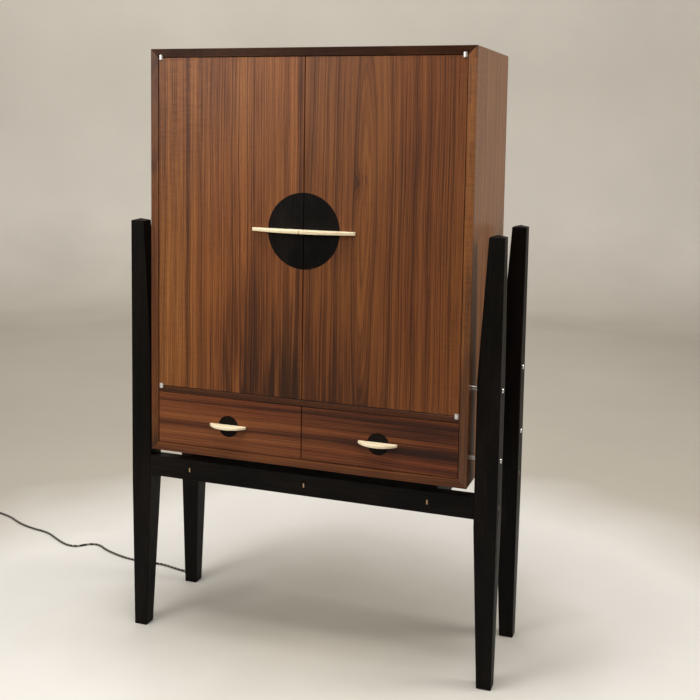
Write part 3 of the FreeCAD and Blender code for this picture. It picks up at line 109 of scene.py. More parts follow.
# ---- Node graphs ---------------------------------------------------------------------------------------
class Graph:
    """Node tree of one material, with short ways to add nodes and join them."""

    def __init__(self, name: str) -> None:
        """Starts a material with a principled shader.

        Args:
            name: The material's name.
        """
        self.material = bpy.data.materials.new(name)
        self.material.use_nodes = True
        self.tree = self.material.node_tree
        self.tree.nodes.clear()
        self.shader = self.add("ShaderNodeBsdfPrincipled")
        output = self.add("ShaderNodeOutputMaterial")
        self.tree.links.new(self.shader.outputs["BSDF"], output.inputs["Surface"])

    def add(self, kind: str, **settings: object) -> bpy.types.Node:
        """Adds a node.

        Args:
            kind: Its type.
            settings: Properties to set on it.

        Returns:
            The node.
        """
        node = self.tree.nodes.new(kind)
        for key, value in settings.items():
            setattr(node, key, value)
        return node

    def feed(self, socket: Socket, value: object) -> None:
        """Joins a socket to another, or sets its value.

        Args:
            socket: The input.
            value: An output socket, a number or a colour.
        """
        if isinstance(value, Socket):
            self.tree.links.new(value, socket)
        elif isinstance(value, tuple) and len(value) == 3 and len(socket.default_value) == 4:
            socket.default_value = (*value, 1.0)
        else:
            socket.default_value = value

    def set(self, **values: object) -> None:
        """Sets the shader's inputs by name, with an underscore for each space."""
        for key, value in values.items():
            self.feed(self.shader.inputs[key.replace("_", " ")], value)

    def sum(self, operation: str, first: object, second: object = 0.0,
            third: object = 0.0) -> Socket:
        """Arithmetic on numbers.

        Args:
            operation: The operation's name.
            first: First number or source.
            second: Second number or source.
            third: Third number or source, where the operation takes one.

        Returns:
            The result's socket.
        """
        node = self.add("ShaderNodeMath", operation=operation)
        for socket, value in zip(node.inputs, (first, second, third)):
            self.feed(socket, value)
        return node.outputs[0]

    def noise(self, place: object, scale: float, detail: float = 2.0, roughness: float = 0.5,
              line: bool = False) -> Socket:
        """Noise, over space or over one number.

        Args:
            place: Coordinates, or the number if line is set.
            scale: Cells a metre.
            detail: Octaves.
            roughness: Weight of the finer octaves.
            line: Whether the noise runs over one number.

        Returns:
            The value's socket, mostly from 0.3 to 0.7.
        """
        node = self.add("ShaderNodeTexNoise", noise_dimensions="1D" if line else "3D")
        self.feed(node.inputs["W" if line else "Vector"], place)
        node.inputs["Scale"].default_value = scale
        node.inputs["Detail"].default_value = detail
        node.inputs["Roughness"].default_value = roughness
        return node.outputs[0]

    def ramp(self, factor: object, stops: Sequence[tuple[float, Colour]]) -> Socket:
        """Colours along a number.

        Args:
            factor: The number's source.
            stops: Places and their colours, in order.

        Returns:
            The colour's socket.
        """
        node = self.add("ShaderNodeValToRGB")
        self.feed(node.inputs[0], factor)
        elements = node.color_ramp.elements
        while len(elements) < len(stops):
            elements.new(0.5)
        for element, (place, colour) in zip(elements, stops):
            element.position = place
            element.color = (*colour, 1.0)
        return node.outputs[0]

    def spread(self, value: object, low: float, high: float, out_low: float,
               out_high: float) -> Socket:
        """Maps a span of numbers to another and holds it at its ends.

        Args:
            value: The number's source.
            low: Start of the span.
            high: End of the span.
            out_low: What the start becomes.
            out_high: What the end becomes.

        Returns:
            The result's socket.
        """
        node = self.add("ShaderNodeMapRange")
        for socket, number in zip(node.inputs, (value, low, high, out_low, out_high)):
            self.feed(socket, number)
        return node.outputs[0]

    def mix(self, factor: object, first: object, second: object, mode: str = "MIX") -> Socket:
        """Mixes two colours.

        Args:
            factor: Share of the second.
            first: First colour or source.
            second: Second colour or source.
            mode: How they mix.

        Returns:
            The colour's socket.
        """
        node = self.add("ShaderNodeMix", data_type="RGBA", blend_type=mode)
        self.feed(node.inputs[0], factor)
        self.feed(node.inputs[6], first)
        self.feed(node.inputs[7], second)
        return node.outputs[2]

    def length(self, point: Socket) -> Socket:
        """How far a point lies from the origin.

        Args:
            point: The point's socket.

        Returns:
            The distance's socket.
        """
        node = self.add("ShaderNodeVectorMath", operation="LENGTH")
        self.feed(node.inputs[0], point)
        return node.outputs["Value"]

    def grey(self, value: object) -> Socket:
        """Turns a number into a grey colour.

        Args:
            value: The number's source.

        Returns:
            The colour's socket.
        """
        node = self.add("ShaderNodeCombineColor")
        for socket in node.inputs:
            self.feed(socket, value)
        return node.outputs[0]

    def bump(self, height: object, distance: float, strength: float = 1.0) -> Socket:
        """Relief in the surface.

        Args:
            height: Source of a height from 0 to 1.
            distance: Metres that a height of 1 stands for.
            strength: Share of the relief that shows.

        Returns:
            The normal's socket.
        """
        node = self.add("ShaderNodeBump")
        node.inputs["Distance"].default_value = distance
        node.inputs["Strength"].default_value = strength
        self.feed(node.inputs["Height"], height)
        return node.outputs[0]

    def coordinates(self) -> Socket:
        """The piece's own coordinates, in metres."""
        return self.add("ShaderNodeTexCoord").outputs["Object"]

    def board_axes(self, cut: Cut) -> Axes:
        """A board's coordinates.

        Args:
            cut: How the board lies.

        Returns:
            Sockets across the grain, through the face and along the grain.
        """
        parts = self.add("ShaderNodeSeparateXYZ")
        self.feed(parts.inputs[0], self.coordinates())
        if cut is Cut.AROUND:
            aside, back, up = parts.outputs
            return up, up, self.sum("ADD", aside, back)
        return tuple(parts.outputs["XYZ".index(axis)] for axis in cut.value)

    def point(self, across: object, through: object, along: object) -> Socket:
        """A point from its three coordinates.

        Args:
            across: First coordinate.
            through: Second coordinate.
            along: Third coordinate.

        Returns:
            The point's socket.
        """
        node = self.add("ShaderNodeCombineXYZ")
        for socket, value in zip(node.inputs, (across, through, along)):
            self.feed(socket, value)
        return node.outputs[0]

    def grain(self, axes: Axes, along: float, scale: float, shift: float, detail: float = 2.0,
              roughness: float = 0.5) -> Socket:
        """Noise that is drawn out along a board's grain."""
        return self.noise(self.stretched(axes, along, shift), scale, detail, roughness)

    def stretched(self, axes: Axes, along: float, shift: float = 0.0) -> Socket:
        """A board's coordinates with the grain's direction drawn out, for marks that run along it."""
        across, through, length = axes
        return self.point(self.sum("ADD", across, shift), through, self.sum("MULTIPLY", length, along))


# ---- Finishes ------------------------------------------------------------------------------------------
@dataclass(frozen=True)
class Finish:
    """A finish and the record's slot it belongs to."""

    name: str
    slot: Slot

    def paint(self, graph: Graph) -> None:
        """Builds the finish's nodes in a graph."""
        raise NotImplementedError

    def material(self) -> bpy.types.Material:
        """The finish as a material, made once.

        Returns:
            The material.
        """
        found = bpy.data.materials.get(self.name)
        if found is not None:
            return found
        graph = Graph(self.name)
        self.paint(graph)
        return graph.material


@dataclass(frozen=True)
class Cloud:
    """A darker stretch of a board, streaked along its grain: on the right drawer the wood's own darker
    figure, on the doors' lower parts partly the wood's figure and partly painted shade.
    """

    across: float               # its middle
    along: float
    half_across: float          # its half sizes
    half_along: float
    drop: float                 # how much darker its middle is

    STREAKS: ClassVar[float] = 60.0
    WAVER: ClassVar[float] = 5.0            # share of the grain's flutter that its edge takes

    def darkening(self, graph: Graph, axes: Axes, flutter: Socket, seed: float) -> Socket:
        """How much darker the wood is, streak by streak.

        Args:
            graph: The graph to fill.
            axes: Sockets across, through and along.
            flutter: Small sideways waver of the grain.
            seed: The board's own offset.

        Returns:
            The drop's socket.
        """
        across, _, along = axes
        aside = graph.sum("MULTIPLY_ADD", flutter, self.WAVER, graph.sum("SUBTRACT", across, self.across))
        away = graph.sum("SUBTRACT", along, self.along)
        far = graph.length(graph.point(graph.sum("DIVIDE", aside, self.half_across), 0.0,
                                       graph.sum("DIVIDE", away, self.half_along)))
        streaks = graph.grain(axes, 0.04, self.STREAKS, seed + 2.0, 2.0, 0.6)
        return graph.sum("MULTIPLY", graph.spread(far, 0.15, 1.15, self.drop, 0.0),
                         graph.spread(streaks, 0.38, 0.62, 0.30, 1.45))


@dataclass(frozen=True)
class Walnut(Finish):
    """Oiled walnut: rings cut by the board's face, pinstripes, fibres, pores, ripples and slow tones."""

    slot: Slot = Slot.WALNUT
    cut: Cut = Cut.UPRIGHT_FRONT
    heart: float = 0.0          # where across the board the log's middle lies
    waist: float = 0.0          # where along the grain the log's middle comes nearest to the face
    depth: float = 0.02         # how far it is there
    bow: float = 0.4            # how fast it sinks away from there, in metres a square metre
    seed: float = 0.0
    shade: float = 1.0
    tint: Colour = PLAIN_WHITE
    red: float = 0.25           # share of the redder tone in patches
    core: float = 0.0           # how much paler the wood is along the log's middle
    contrast: float = 1.0
    cloud: Cloud | None = None
    knot: tuple[float, float] | None = None     # place of a small knot, across and along
    gloss: float = 0.24         # specular level
    roughness: tuple[float, float] = (0.50, 0.42)

    TONES: ClassVar[tuple[tuple[float, Colour], ...]] = (
        (0.28, srgb(46, 24, 12)), (0.40, srgb(76, 42, 21)), (0.50, srgb(106, 62, 31)),
        (0.60, srgb(125, 77, 40)), (0.74, srgb(143, 93, 51)))
    REDDER: ClassVar[Colour] = srgb(240, 190, 186)
    LINE: ClassVar[Colour] = srgb(46, 24, 13)
    PORE: ClassVar[Colour] = srgb(42, 22, 12)
    LINE_SHARE: ClassVar[float] = 0.28      # how far lines and pores take their own colours
    PORE_SHARE: ClassVar[float] = 0.36
    RING_WEIGHT: ClassVar[float] = 0.30     # how far each mark moves the lightness
    STRIPE_WEIGHT: ClassVar[float] = 0.34
    FIBRE_WEIGHT: ClassVar[float] = 0.36
    TONE_WEIGHT: ClassVar[float] = 0.30
    RIPPLE_WEIGHT: ClassVar[float] = 0.16
    RINGS: ClassVar[float] = 52.0           # cells a metre of the noise that each mark comes from
    PINSTRIPES: ClassVar[float] = 300.0
    DARK_LINES: ClassVar[float] = 95.0
    FIBRES: ClassVar[float] = 520.0
    PORES: ClassVar[float] = 1400.0
    SWAY: ClassVar[float] = 0.050           # sideways reach of the grain's slow and quick wavers
    FLUTTER: ClassVar[float] = 0.008
    KNOT_RADIUS: ClassVar[float] = 0.014
    KNOT_RISE: ClassVar[float] = 0.010      # how far a knot pushes the rings out

    def waver(self, graph: Graph, noise: Socket, reach: float) -> Socket:
        """Turns a noise into a shift to both sides, over a reach in all."""
        return graph.sum("MULTIPLY_ADD", noise, reach, -reach / 2.0)

    def ring_radius(self, graph: Graph, axes: Axes, flutter: Socket) -> Socket:
        """Distance from the log's middle, which the growth rings follow.

        Args:
            graph: The graph to fill.
            axes: Sockets across, through and along.
            flutter: Small sideways waver of the grain.

        Returns:
            The radius' socket.
        """
        across, _, along = axes
        sway = self.waver(graph, graph.grain(axes, 0.30, 2.6, self.seed), self.SWAY)
        aside = graph.sum("ADD", graph.sum("SUBTRACT", across, self.heart), sway)
        aside = graph.sum("ADD", aside, flutter)
        away = graph.sum("SUBTRACT", along, self.waist)
        sunk = graph.sum("MULTIPLY_ADD", graph.sum("MULTIPLY", away, away), self.bow, self.depth)
        down = graph.sum("ADD", sunk, graph.sum("MULTIPLY", flutter, 1.5))
        squares = graph.sum("ADD", graph.sum("MULTIPLY", aside, aside), graph.sum("MULTIPLY", down, down))
        radius = graph.sum("SQRT", squares)
        if self.knot is None:
            return radius
        knot_across, knot_along = self.knot
        away = graph.sum("MULTIPLY", graph.sum("SUBTRACT", along, knot_along), 0.30)
        far = graph.length(graph.point(graph.sum("SUBTRACT", across, knot_across), 0.0, away))
        return graph.sum("ADD", radius, graph.spread(far, 0.0, self.KNOT_RADIUS, self.KNOT_RISE, 0.0))

    def value(self, graph: Graph, axes: Axes, rings: Socket, stripes: Socket) -> Socket:
        """Lightness of the figure, about 0.5, before its dark lines and pores.

        Args:
            graph: The graph to fill.
            axes: Sockets across, through and along.
            rings: Noise of the growth rings.
            stripes: Noise of the pinstripes.

        Returns:
            The lightness' socket.
        """
        fibre = graph.grain(axes, 0.012, self.FIBRES, self.seed)
        tone = graph.grain(axes, 0.16, 7.0, self.seed + 4.0, 3.0, 0.55)
        weights = ((rings, self.RING_WEIGHT * self.contrast), (stripes, self.STRIPE_WEIGHT),
                   (fibre, self.FIBRE_WEIGHT), (tone, self.TONE_WEIGHT))
        value = 0.5
        for source, weight in weights:
            value = graph.sum("MULTIPLY_ADD", source, weight, graph.sum("SUBTRACT", value, weight / 2.0))
        return value

    def ripples(self, graph: Graph, axes: Axes) -> Socket:
        """Faint bars across the grain, in patches.

        Args:
            graph: The graph to fill.
            axes: Sockets across, through and along.

        Returns:
            The socket of what they add to the lightness.
        """
        ripple = graph.grain(axes, 4.5, 34.0, self.seed, 1.0)
        patches = graph.grain(axes, 0.30, 3.0, self.seed, 1.0)
        share = graph.spread(patches, 0.52, 0.68, 0.0, self.RIPPLE_WEIGHT)
        return graph.sum("MULTIPLY", graph.sum("SUBTRACT", ripple, 0.5), share)

    def paint(self, graph: Graph) -> None:
        """Builds the finish's nodes.

        Args:
            graph: The graph to fill.
        """
        axes = graph.board_axes(self.cut)
        flutter = self.waver(graph, graph.grain(axes, 0.10, 26.0, self.seed), self.FLUTTER)
        bare = self.ring_radius(graph, axes, flutter)
        radius = graph.sum("ADD", bare, self.seed)
        rings = graph.noise(radius, self.RINGS, 3.0, 0.60, line=True)
        stripes = graph.noise(radius, self.PINSTRIPES, 2.0, 0.6, line=True)
        lines = graph.noise(radius, self.DARK_LINES, 1.0, 0.5, line=True)
        value = self.value(graph, axes, rings, stripes)
        if self.core > 0.0:
            value = graph.sum("ADD", value, graph.spread(bare, 0.005, 0.011, self.core, 0.0))
        if self.cloud is not None:
            value = graph.sum("SUBTRACT", value, self.cloud.darkening(graph, axes, flutter, self.seed))
        value = graph.sum("ADD", value, self.ripples(graph, axes))
        shares = [self.shade * share for share in self.tint]
        colour = graph.ramp(value, [(place, tuple(part * share for part, share in zip(tone, shares)))
                                    for place, tone in self.TONES])
        hue = graph.spread(graph.grain(axes, 0.25, 4.0, self.seed + 9.0), 0.42, 0.62, 0.0, self.red)
        colour = graph.mix(hue, colour, self.REDDER, "MULTIPLY")
        colour = graph.mix(graph.spread(lines, 0.60, 0.68, 0.0, self.LINE_SHARE), colour, self.LINE)
        pores = graph.spread(graph.grain(axes, 0.045, self.PORES, self.seed, 1.0), 0.60, 0.70, 0.0, 1.0)
        colour = graph.mix(graph.sum("MULTIPLY", pores, self.PORE_SHARE), colour, self.PORE)
        relief = graph.sum("SUBTRACT", graph.sum("MULTIPLY", rings, 0.5), graph.sum("MULTIPLY", pores, 0.6))
        graph.set(Base_Color=colour, Roughness=graph.spread(value, 0.3, 0.7, *self.roughness),
                  Normal=graph.bump(relief, 0.12 * MM, 0.8), Specular_IOR_Level=self.gloss)


@dataclass(frozen=True)
class BlackWood(Finish):
    """Ebonised wood whose open grain shows through a satin coat."""

    slot: Slot = Slot.BLACK_WOOD
    cut: Cut = Cut.UPRIGHT_FRONT
    seed: float = 0.0

    TONES: ClassVar[tuple[tuple[float, Colour], ...]] = (
        (0.45, srgb(6, 4, 3)), (0.70, srgb(12, 9, 7)), (0.90, srgb(27, 21, 17)))
    PORE: ClassVar[Colour] = srgb(3, 2, 2)
    FIBRES: ClassVar[float] = 420.0         # cells a metre
    PORES: ClassVar[float] = 1100.0
    GLOSS: ClassVar[float] = 0.09

    def paint(self, graph: Graph) -> None:
        """Builds the finish's nodes.

        Args:
            graph: The graph to fill.
        """
        axes = graph.board_axes(self.cut)
        fibre = graph.grain(axes, 0.03, self.FIBRES, self.seed, 3.0, 0.6)
        tone = graph.grain(axes, 0.2, 18.0, self.seed, 3.0, 0.6)
        pores = graph.spread(graph.grain(axes, 0.05, self.PORES, self.seed, 1.0), 0.55, 0.68, 0.0, 1.0)
        value = graph.sum("MULTIPLY_ADD", tone, 0.8, graph.sum("MULTIPLY", fibre, 0.6))
        colour = graph.mix(graph.sum("MULTIPLY", pores, 0.5), graph.ramp(value, self.TONES), self.PORE)
        relief = graph.sum("SUBTRACT", graph.sum("MULTIPLY", fibre, 0.6), pores)
        graph.set(Base_Color=colour, Roughness=graph.spread(fibre, 0.3, 0.7, 0.56, 0.42),
                  Normal=graph.bump(relief, 0.2 * MM, 0.8), Specular_IOR_Level=self.GLOSS)


@dataclass(frozen=True)
class Maple(Finish):
    """Pale close-grained wood under clear lacquer."""

    slot: Slot = Slot.MAPLE
    cut: Cut = Cut.LYING_FRONT
    pale: Colour = srgb(246, 230, 196)
    deep: Colour = srgb(222, 194, 148)
    seed: float = 0.0

    RINGS: ClassVar[float] = 110.0          # cells a metre
    FIBRES: ClassVar[float] = 900.0
    FLECKS: ClassVar[float] = 700.0
    GLOSS: ClassVar[float] = 0.45

    def paint(self, graph: Graph) -> None:
        """Builds the finish's nodes.

        Args:
            graph: The graph to fill.
        """
        axes = graph.board_axes(self.cut)
        growth = graph.grain(axes, 0.06, self.RINGS, self.seed, 4.0, 0.6)
        fibre = graph.grain(axes, 0.03, self.FIBRES, self.seed)
        value = graph.sum("MULTIPLY_ADD", fibre, 0.35, graph.sum("MULTIPLY", growth, 0.65))
        colour = graph.ramp(value, [(0.34, self.deep), (0.50, self.pale), (0.72, self.pale)])
        flecks = graph.spread(graph.grain(axes, 0.12, self.FLECKS, self.seed, 1.0), 0.62, 0.72, 0.0, 0.35)
        graph.set(Base_Color=graph.mix(flecks, colour, self.deep),
                  Roughness=graph.spread(fibre, 0.3, 0.7, 0.42, 0.32),
                  Normal=graph.bump(fibre, 0.06 * MM, 0.6), Specular_IOR_Level=self.GLOSS)


@dataclass(frozen=True)
class Metal(Finish):
    """Metal with the fine marks that its tool or cloth leaves."""

    slot: Slot = Slot.POLISHED_STEEL
    colour: Colour = (0.80, 0.80, 0.79)
    smooth: float = 0.10
    rough: float = 0.18
    marks: tuple[float, float, float] = (260.0, 260.0, 260.0)       # scratches a metre along each axis
    depth: float = 0.01 * MM

    DULLER: ClassVar[float] = 0.86          # share of the colour that is left in smears

    def paint(self, graph: Graph) -> None:
        """Builds the finish's nodes.

        Args:
            graph: The graph to fill.
        """
        mapping = graph.add("ShaderNodeMapping")
        graph.feed(mapping.inputs["Vector"], graph.coordinates())
        mapping.inputs["Scale"].default_value = self.marks
        scratches = graph.noise(mapping.outputs[0], 1.0, 3.0, 0.6)
        smears = graph.noise(graph.coordinates(), 35.0, 3.0)
        value = graph.sum("MULTIPLY_ADD", smears, 0.4, graph.sum("MULTIPLY", scratches, 0.6))
        darker = tuple(part * self.DULLER for part in self.colour)
        graph.set(Base_Color=graph.ramp(value, [(0.35, darker), (0.60, self.colour)]), Metallic=1.0,
                  Roughness=graph.spread(value, 0.35, 0.65, self.smooth, self.rough),
                  Normal=graph.bump(scratches, self.depth, 0.7))


@dataclass(frozen=True)
class Plastic(Finish):
    """Moulded plastic or rubber with a fine spark-eroded texture."""

    slot: Slot = Slot.BLACK_PLASTIC
    colour: Colour = srgb(26, 26, 27)
    rough: float = 0.45
    texture: float = 2600.0                 # grains a metre
    depth: float = 0.03 * MM

    WORN: ClassVar[float] = 1.35            # how much paler the colour is where it is worn

    def paint(self, graph: Graph) -> None:
        """Builds the finish's nodes.

        Args:
            graph: The graph to fill.
        """
        place = graph.coordinates()
        grain = graph.noise(place, self.texture, 2.0)
        wear = graph.noise(place, 40.0, 3.0)
        paler = tuple(min(1.0, part * self.WORN + 0.002) for part in self.colour)
        graph.set(Base_Color=graph.ramp(wear, [(0.35, self.colour), (0.75, paler)]),
                  Roughness=graph.spread(wear, 0.3, 0.7, self.rough - 0.06, self.rough + 0.06),
                  Normal=graph.bump(grain, self.depth, 0.6))


@dataclass(frozen=True)
class TwistedJacket(Finish):
    """Cord jacket over two twisted cores: low ridges across it, with painted highlights on their crests."""

    slot: Slot = Slot.CORD
    dark: Colour = srgb(9, 8, 9)
    # pale: colour of the painted highlights on the ridges' crests
    pale: Colour = srgb(152, 145, 134)
    pitch: float = 14.0 * MM
    ridge: float = 0.4 * MM
    gloss: float = 0.12

    SLANT: ClassVar[float] = -0.35          # how the ridges lean against the floor's depth

    def paint(self, graph: Graph) -> None:
        """Builds the finish's nodes.

        Args:
            graph: The graph to fill.
        """
        aside, back, up = graph.board_axes(Cut.UPRIGHT_FRONT)
        along = graph.sum("MULTIPLY_ADD", back, self.SLANT, graph.sum("ADD", aside, up))
        twist = graph.sum("SINE", graph.sum("MULTIPLY", along, 2.0 * math.pi / self.pitch))
        crest = graph.sum("MULTIPLY_ADD", twist, 0.5, 0.5)
        grain = graph.noise(graph.coordinates(), 1800.0, 2.0)
        # the crests are painted pale as highlights; the bump gives the ridges' relief
        graph.set(Base_Color=graph.ramp(crest, [(0.55, self.dark), (0.92, self.pale)]),
                  Roughness=graph.spread(grain, 0.3, 0.7, 0.50, 0.60), Specular_IOR_Level=self.gloss,
                  Normal=graph.bump(crest, self.ridge, 0.8))


@dataclass(frozen=True)
class Backdrop(Finish):
    """Studio sweep, all a little cloudy: a painted shadow in its middle under the cabinet, a bright floor
    round it, a darker ring of painted shade farther out, and a pale wall.
    """

    slot: Slot = Slot.FROSTED
    # middle: colour of the painted shadow under the cabinet
    middle: Colour = srgb(190, 183, 170)
    floor: Colour = srgb(213, 209, 203)
    # painted shade where the lamps' light falls off, farther from the cabinet
    shaded_ring: Colour = srgb(170, 163, 151)
    wall: Colour = srgb(203, 197, 187)

    REACH: ClassVar[float] = 8.0            # metres that the whole ramp stands for
    UNEVEN: ClassVar[float] = 0.8           # metres by which the rings' edges waver

    def paint(self, graph: Graph) -> None:
        """Builds the finish's nodes.

        Args:
            graph: The graph to fill.
        """
        place = graph.coordinates()
        clouds = graph.noise(place, 0.9, 4.0, 0.55)
        radius = graph.sum("MULTIPLY_ADD", clouds, self.UNEVEN,
                           graph.sum("SUBTRACT", graph.length(place), self.UNEVEN / 2.0))
        # the ramp paints a shadow under the cabinet, then the bright floor, then painted shade in the ring
        # beyond it
        colour = graph.ramp(graph.sum("DIVIDE", radius, self.REACH), [
            (0.02, self.middle), (0.09, self.floor), (0.13, self.floor), (0.19, self.shaded_ring), (0.56, self.shaded_ring),
            (0.82, self.wall)])
        shade = graph.spread(clouds, 0.35, 0.65, 0.93, 1.0)
        graph.set(Base_Color=graph.mix(1.0, colour, graph.grey(shade), "MULTIPLY"), Roughness=0.9,
                  Specular_IOR_Level=0.1)


POLISHED = Metal("polished_steel_finish")
NICKEL = Metal("hinge_nickel_finish", colour=(0.93, 0.92, 0.90), smooth=0.42, rough=0.52)
ROD_CHROME = Metal("rod_chrome_finish", colour=(0.95, 0.95, 0.94), smooth=0.16, rough=0.24,
                   marks=(30.0, 700.0, 700.0))
SATIN = Metal("satin_steel_finish", Slot.SATIN_STEEL, (0.62, 0.62, 0.61), smooth=0.28, rough=0.40,
              marks=(900.0, 60.0, 900.0))
ALUMINIUM = Metal("brushed_aluminium_finish", Slot.ALUMINIUM, (0.80, 0.79, 0.76), smooth=0.34, rough=0.46,
                  marks=(40.0, 1400.0, 1400.0))
BRASS = Metal("turned_brass_finish", Slot.BRASS, (0.72, 0.54, 0.26), smooth=0.20, rough=0.32,
              marks=(500.0, 500.0, 500.0))
BLACK_PLASTIC = Plastic("black_plastic_finish")
JACKET = TwistedJacket("cord_jacket_finish")
FROSTED = Plastic("frosted_plastic_finish", Slot.FROSTED, srgb(226, 224, 216), rough=0.55, texture=3000.0)
HANDLE_MAPLE = Maple("handle_maple")
BOTTOM_MAPLE = Maple("drawer_bottom_maple", cut=Cut.LEVEL, pale=srgb(222, 200, 160), deep=srgb(196, 168, 126),
                     seed=6.0)
BOX_MAPLE = Maple("drawer_box_maple", cut=Cut.AROUND, pale=srgb(226, 204, 164), deep=srgb(198, 170, 126),
                  seed=2.0)
WEDGE_MAPLE = Maple("wedge_maple", cut=Cut.UPRIGHT_FRONT, pale=srgb(196, 160, 118), deep=srgb(160, 118, 80),
                    seed=8.0)


# ---- Modelling bench -----------------------------------------------------------------------------------
FLAT = 0.5                       # degrees within which two faces are one
SHARP = 35.0                     # degrees from which on an edge is rounded
LEVEL = 0.1                      # part of a direction under which an edge is square to it
FACING = 0.99                    # part of a normal from which on a face looks that way


def deselect() -> None:
    """Leaves edit mode and deselects every object."""
    if bpy.context.object is not None and bpy.context.object.mode != "OBJECT":
        bpy.ops.object.mode_set(mode="OBJECT")
    bpy.ops.object.select_all(action="DESELECT")


def select(*objects: bpy.types.Object) -> None:
    """Selects some objects and nothing else, the first of them active.

    Args:
        objects: The objects.
    """
    deselect()
    for obj in objects:
        obj.select_set(True)
    bpy.context.view_layer.objects.active = objects[0]


def add_object(name: str, data: bpy.types.ID) -> bpy.types.Object:
    """Puts new data into the scene.

    Args:
        name: The object's name.
        data: What it shows.

    Returns:
        The object.
    """
    obj = bpy.data.objects.new(name, data)
    bpy.context.scene.collection.objects.link(obj)
    return obj


class Bench:
    """One new mesh on the bench, shaped by operators as by hand."""

    def __init__(self, name: str) -> None:
        """Clears the bench.

        Args:
            name: Name of the piece to be made.
        """
        deselect()
        self.name = name
        self.obj: bpy.types.Object | None = None

    def take(self) -> "Bench":
        """Takes the primitive just added, its place in its mesh, and joins it to what lies there.

        Returns:
            The bench.
        """
        fresh = bpy.context.object
        bpy.ops.object.transform_apply(location=True, rotation=True, scale=True)
        if self.obj is None:
            self.obj = fresh
            fresh.name = fresh.data.name = self.name
        else:
            select(self.obj, fresh)
            bpy.ops.object.join()
        return self

    def block(self, low: Point, high: Point) -> "Bench":
        """Adds a block.

        Args:
            low: Lowest corner.
            high: Highest corner.

        Returns:
            The bench.
        """
        deselect()
        low, high = Vector(low), Vector(high)
        bpy.ops.mesh.primitive_cube_add(size=1.0, location=(low + high) / 2.0, scale=high - low)
        return self.take()

    def bar(self, radius: float, start: Point, end: Point, sides: int = 48,
            end_radius: float | None = None) -> "Bench":
        """Adds a round or tapered bar.

        Args:
            radius: Radius at the start.
            start: Middle of the first end.
            end: Middle of the other end.
            sides: Faces round it.
            end_radius: Radius at the end, where it differs.

        Returns:
            The bench.
        """
        deselect()
        start, end = Vector(start), Vector(end)
        turn = (end - start).to_track_quat("Z", "Y").to_euler()
        bpy.ops.mesh.primitive_cone_add(
            vertices=sides, radius1=radius, radius2=radius if end_radius is None else end_radius,
            depth=(end - start).length, location=(start + end) / 2.0, rotation=turn)
        return self.take()

    def edit(self) -> "Bench":
        """Goes into edit mode with the whole mesh selected.

        Returns:
            The bench.
        """
        if self.obj.mode != "EDIT":
            bpy.ops.object.mode_set(mode="EDIT")
        bpy.ops.mesh.select_all(action="SELECT")
        return self

    def pick(self, kind: Kind, test: Test) -> "Bench":
        """Goes into edit mode with what passes a test selected.

        Args:
            kind: Vertices, edges or faces.
            test: Called with each one's middle and its normal, or an edge's direction.

        Returns:
            The bench.
        """
        if self.obj.mode != "OBJECT":
            bpy.ops.object.mode_set(mode="OBJECT")
        mesh = self.obj.data
        for group in (mesh.vertices, mesh.edges, mesh.polygons):
            group.foreach_set("select", [False] * len(group))
        for item in getattr(mesh, kind.value):
            if kind is Kind.VERTEX:
                item.select = test(item.co, item.normal)
            elif kind is Kind.FACE:
                item.select = test(item.center, item.normal)
            else:
                ends = [mesh.vertices[index].co for index in item.vertices]
                item.select = test((ends[0] + ends[1]) / 2.0, (ends[1] - ends[0]).normalized())
        modes = (kind is Kind.VERTEX, kind is Kind.EDGE, kind is Kind.FACE)
        bpy.context.tool_settings.mesh_select_mode = modes
        bpy.ops.object.mode_set(mode="EDIT")
        return self

    def bevel(self, width: float, segments: int = 3) -> "Bench":
        """Bevels the selected edges."""
        bpy.ops.mesh.bevel(offset=width, segments=segments, affect="EDGES", clamp_overlap=True)
        return self

    def ease(self, width: float, segments: int = 2, sharper: float = SHARP) -> "Bench":
        """Rounds every sharp edge a little.

        Args:
            width: Width of the rounding.
            segments: Faces across it.
            sharper: Least angle of an edge that is rounded, in degrees.

        Returns:
            The bench.
        """
        self.pick(Kind.EDGE, lambda middle, along: False)
        bpy.ops.mesh.edges_select_sharp(sharpness=math.radians(sharper))
        return self.bevel(width, segments)

    def slice(self, point: Point, normal: Point) -> "Bench":
        """Cuts off and closes what lies on a plane's far side.

        Args:
            point: A point of the plane.
            normal: Direction towards what is cut off.

        Returns:
            The bench.
        """
        self.edit()
        bpy.ops.mesh.bisect(plane_co=point, plane_no=normal, use_fill=True, clear_outer=True)
        return self

    def split(self, point: Point, normal: Point) -> "Bench":
        """Divides the faces that a plane meets, for a new line of edges.

        Args:
            point: A point of the plane.
            normal: The plane's normal.

        Returns:
            The bench.
        """
        self.edit()
        bpy.ops.mesh.bisect(plane_co=point, plane_no=normal)
        return self

    def inset(self, thickness: float, depth: float = 0.0) -> "Bench":
        """Insets the selected faces by a rim and moves their middle out, or in if the depth is negative."""
        bpy.ops.mesh.inset(thickness=thickness, depth=depth)
        return self

    def resize(self, factors: Point, centre: Point) -> "Bench":
        """Scales the selection about a point."""
        bpy.ops.transform.resize(value=tuple(factors), center_override=tuple(centre))
        return self

    def seam(self, point: Point, along: Point, width: float, factor: float) -> "Bench":
        """Presses a groove round a bar, square to its length.

        Args:
            point: Middle of the groove, on the bar's axis.
            along: Direction of the axis.
            width: Width of the groove.
            factor: Size at its floor, as a share of the size beside it.

        Returns:
            The bench.
        """
        point, along = Vector(point), Vector(along).normalized()
        for shift in (-width / 2.0, 0.0, width / 2.0):
            self.split(point + along * shift, along)
        self.pick(Kind.VERTEX, lambda place, normal: abs((place - point).dot(along)) < width / 8.0)
        factors = [1.0 if abs(part) > 0.5 else factor for part in along]
        return self.resize(factors, point)

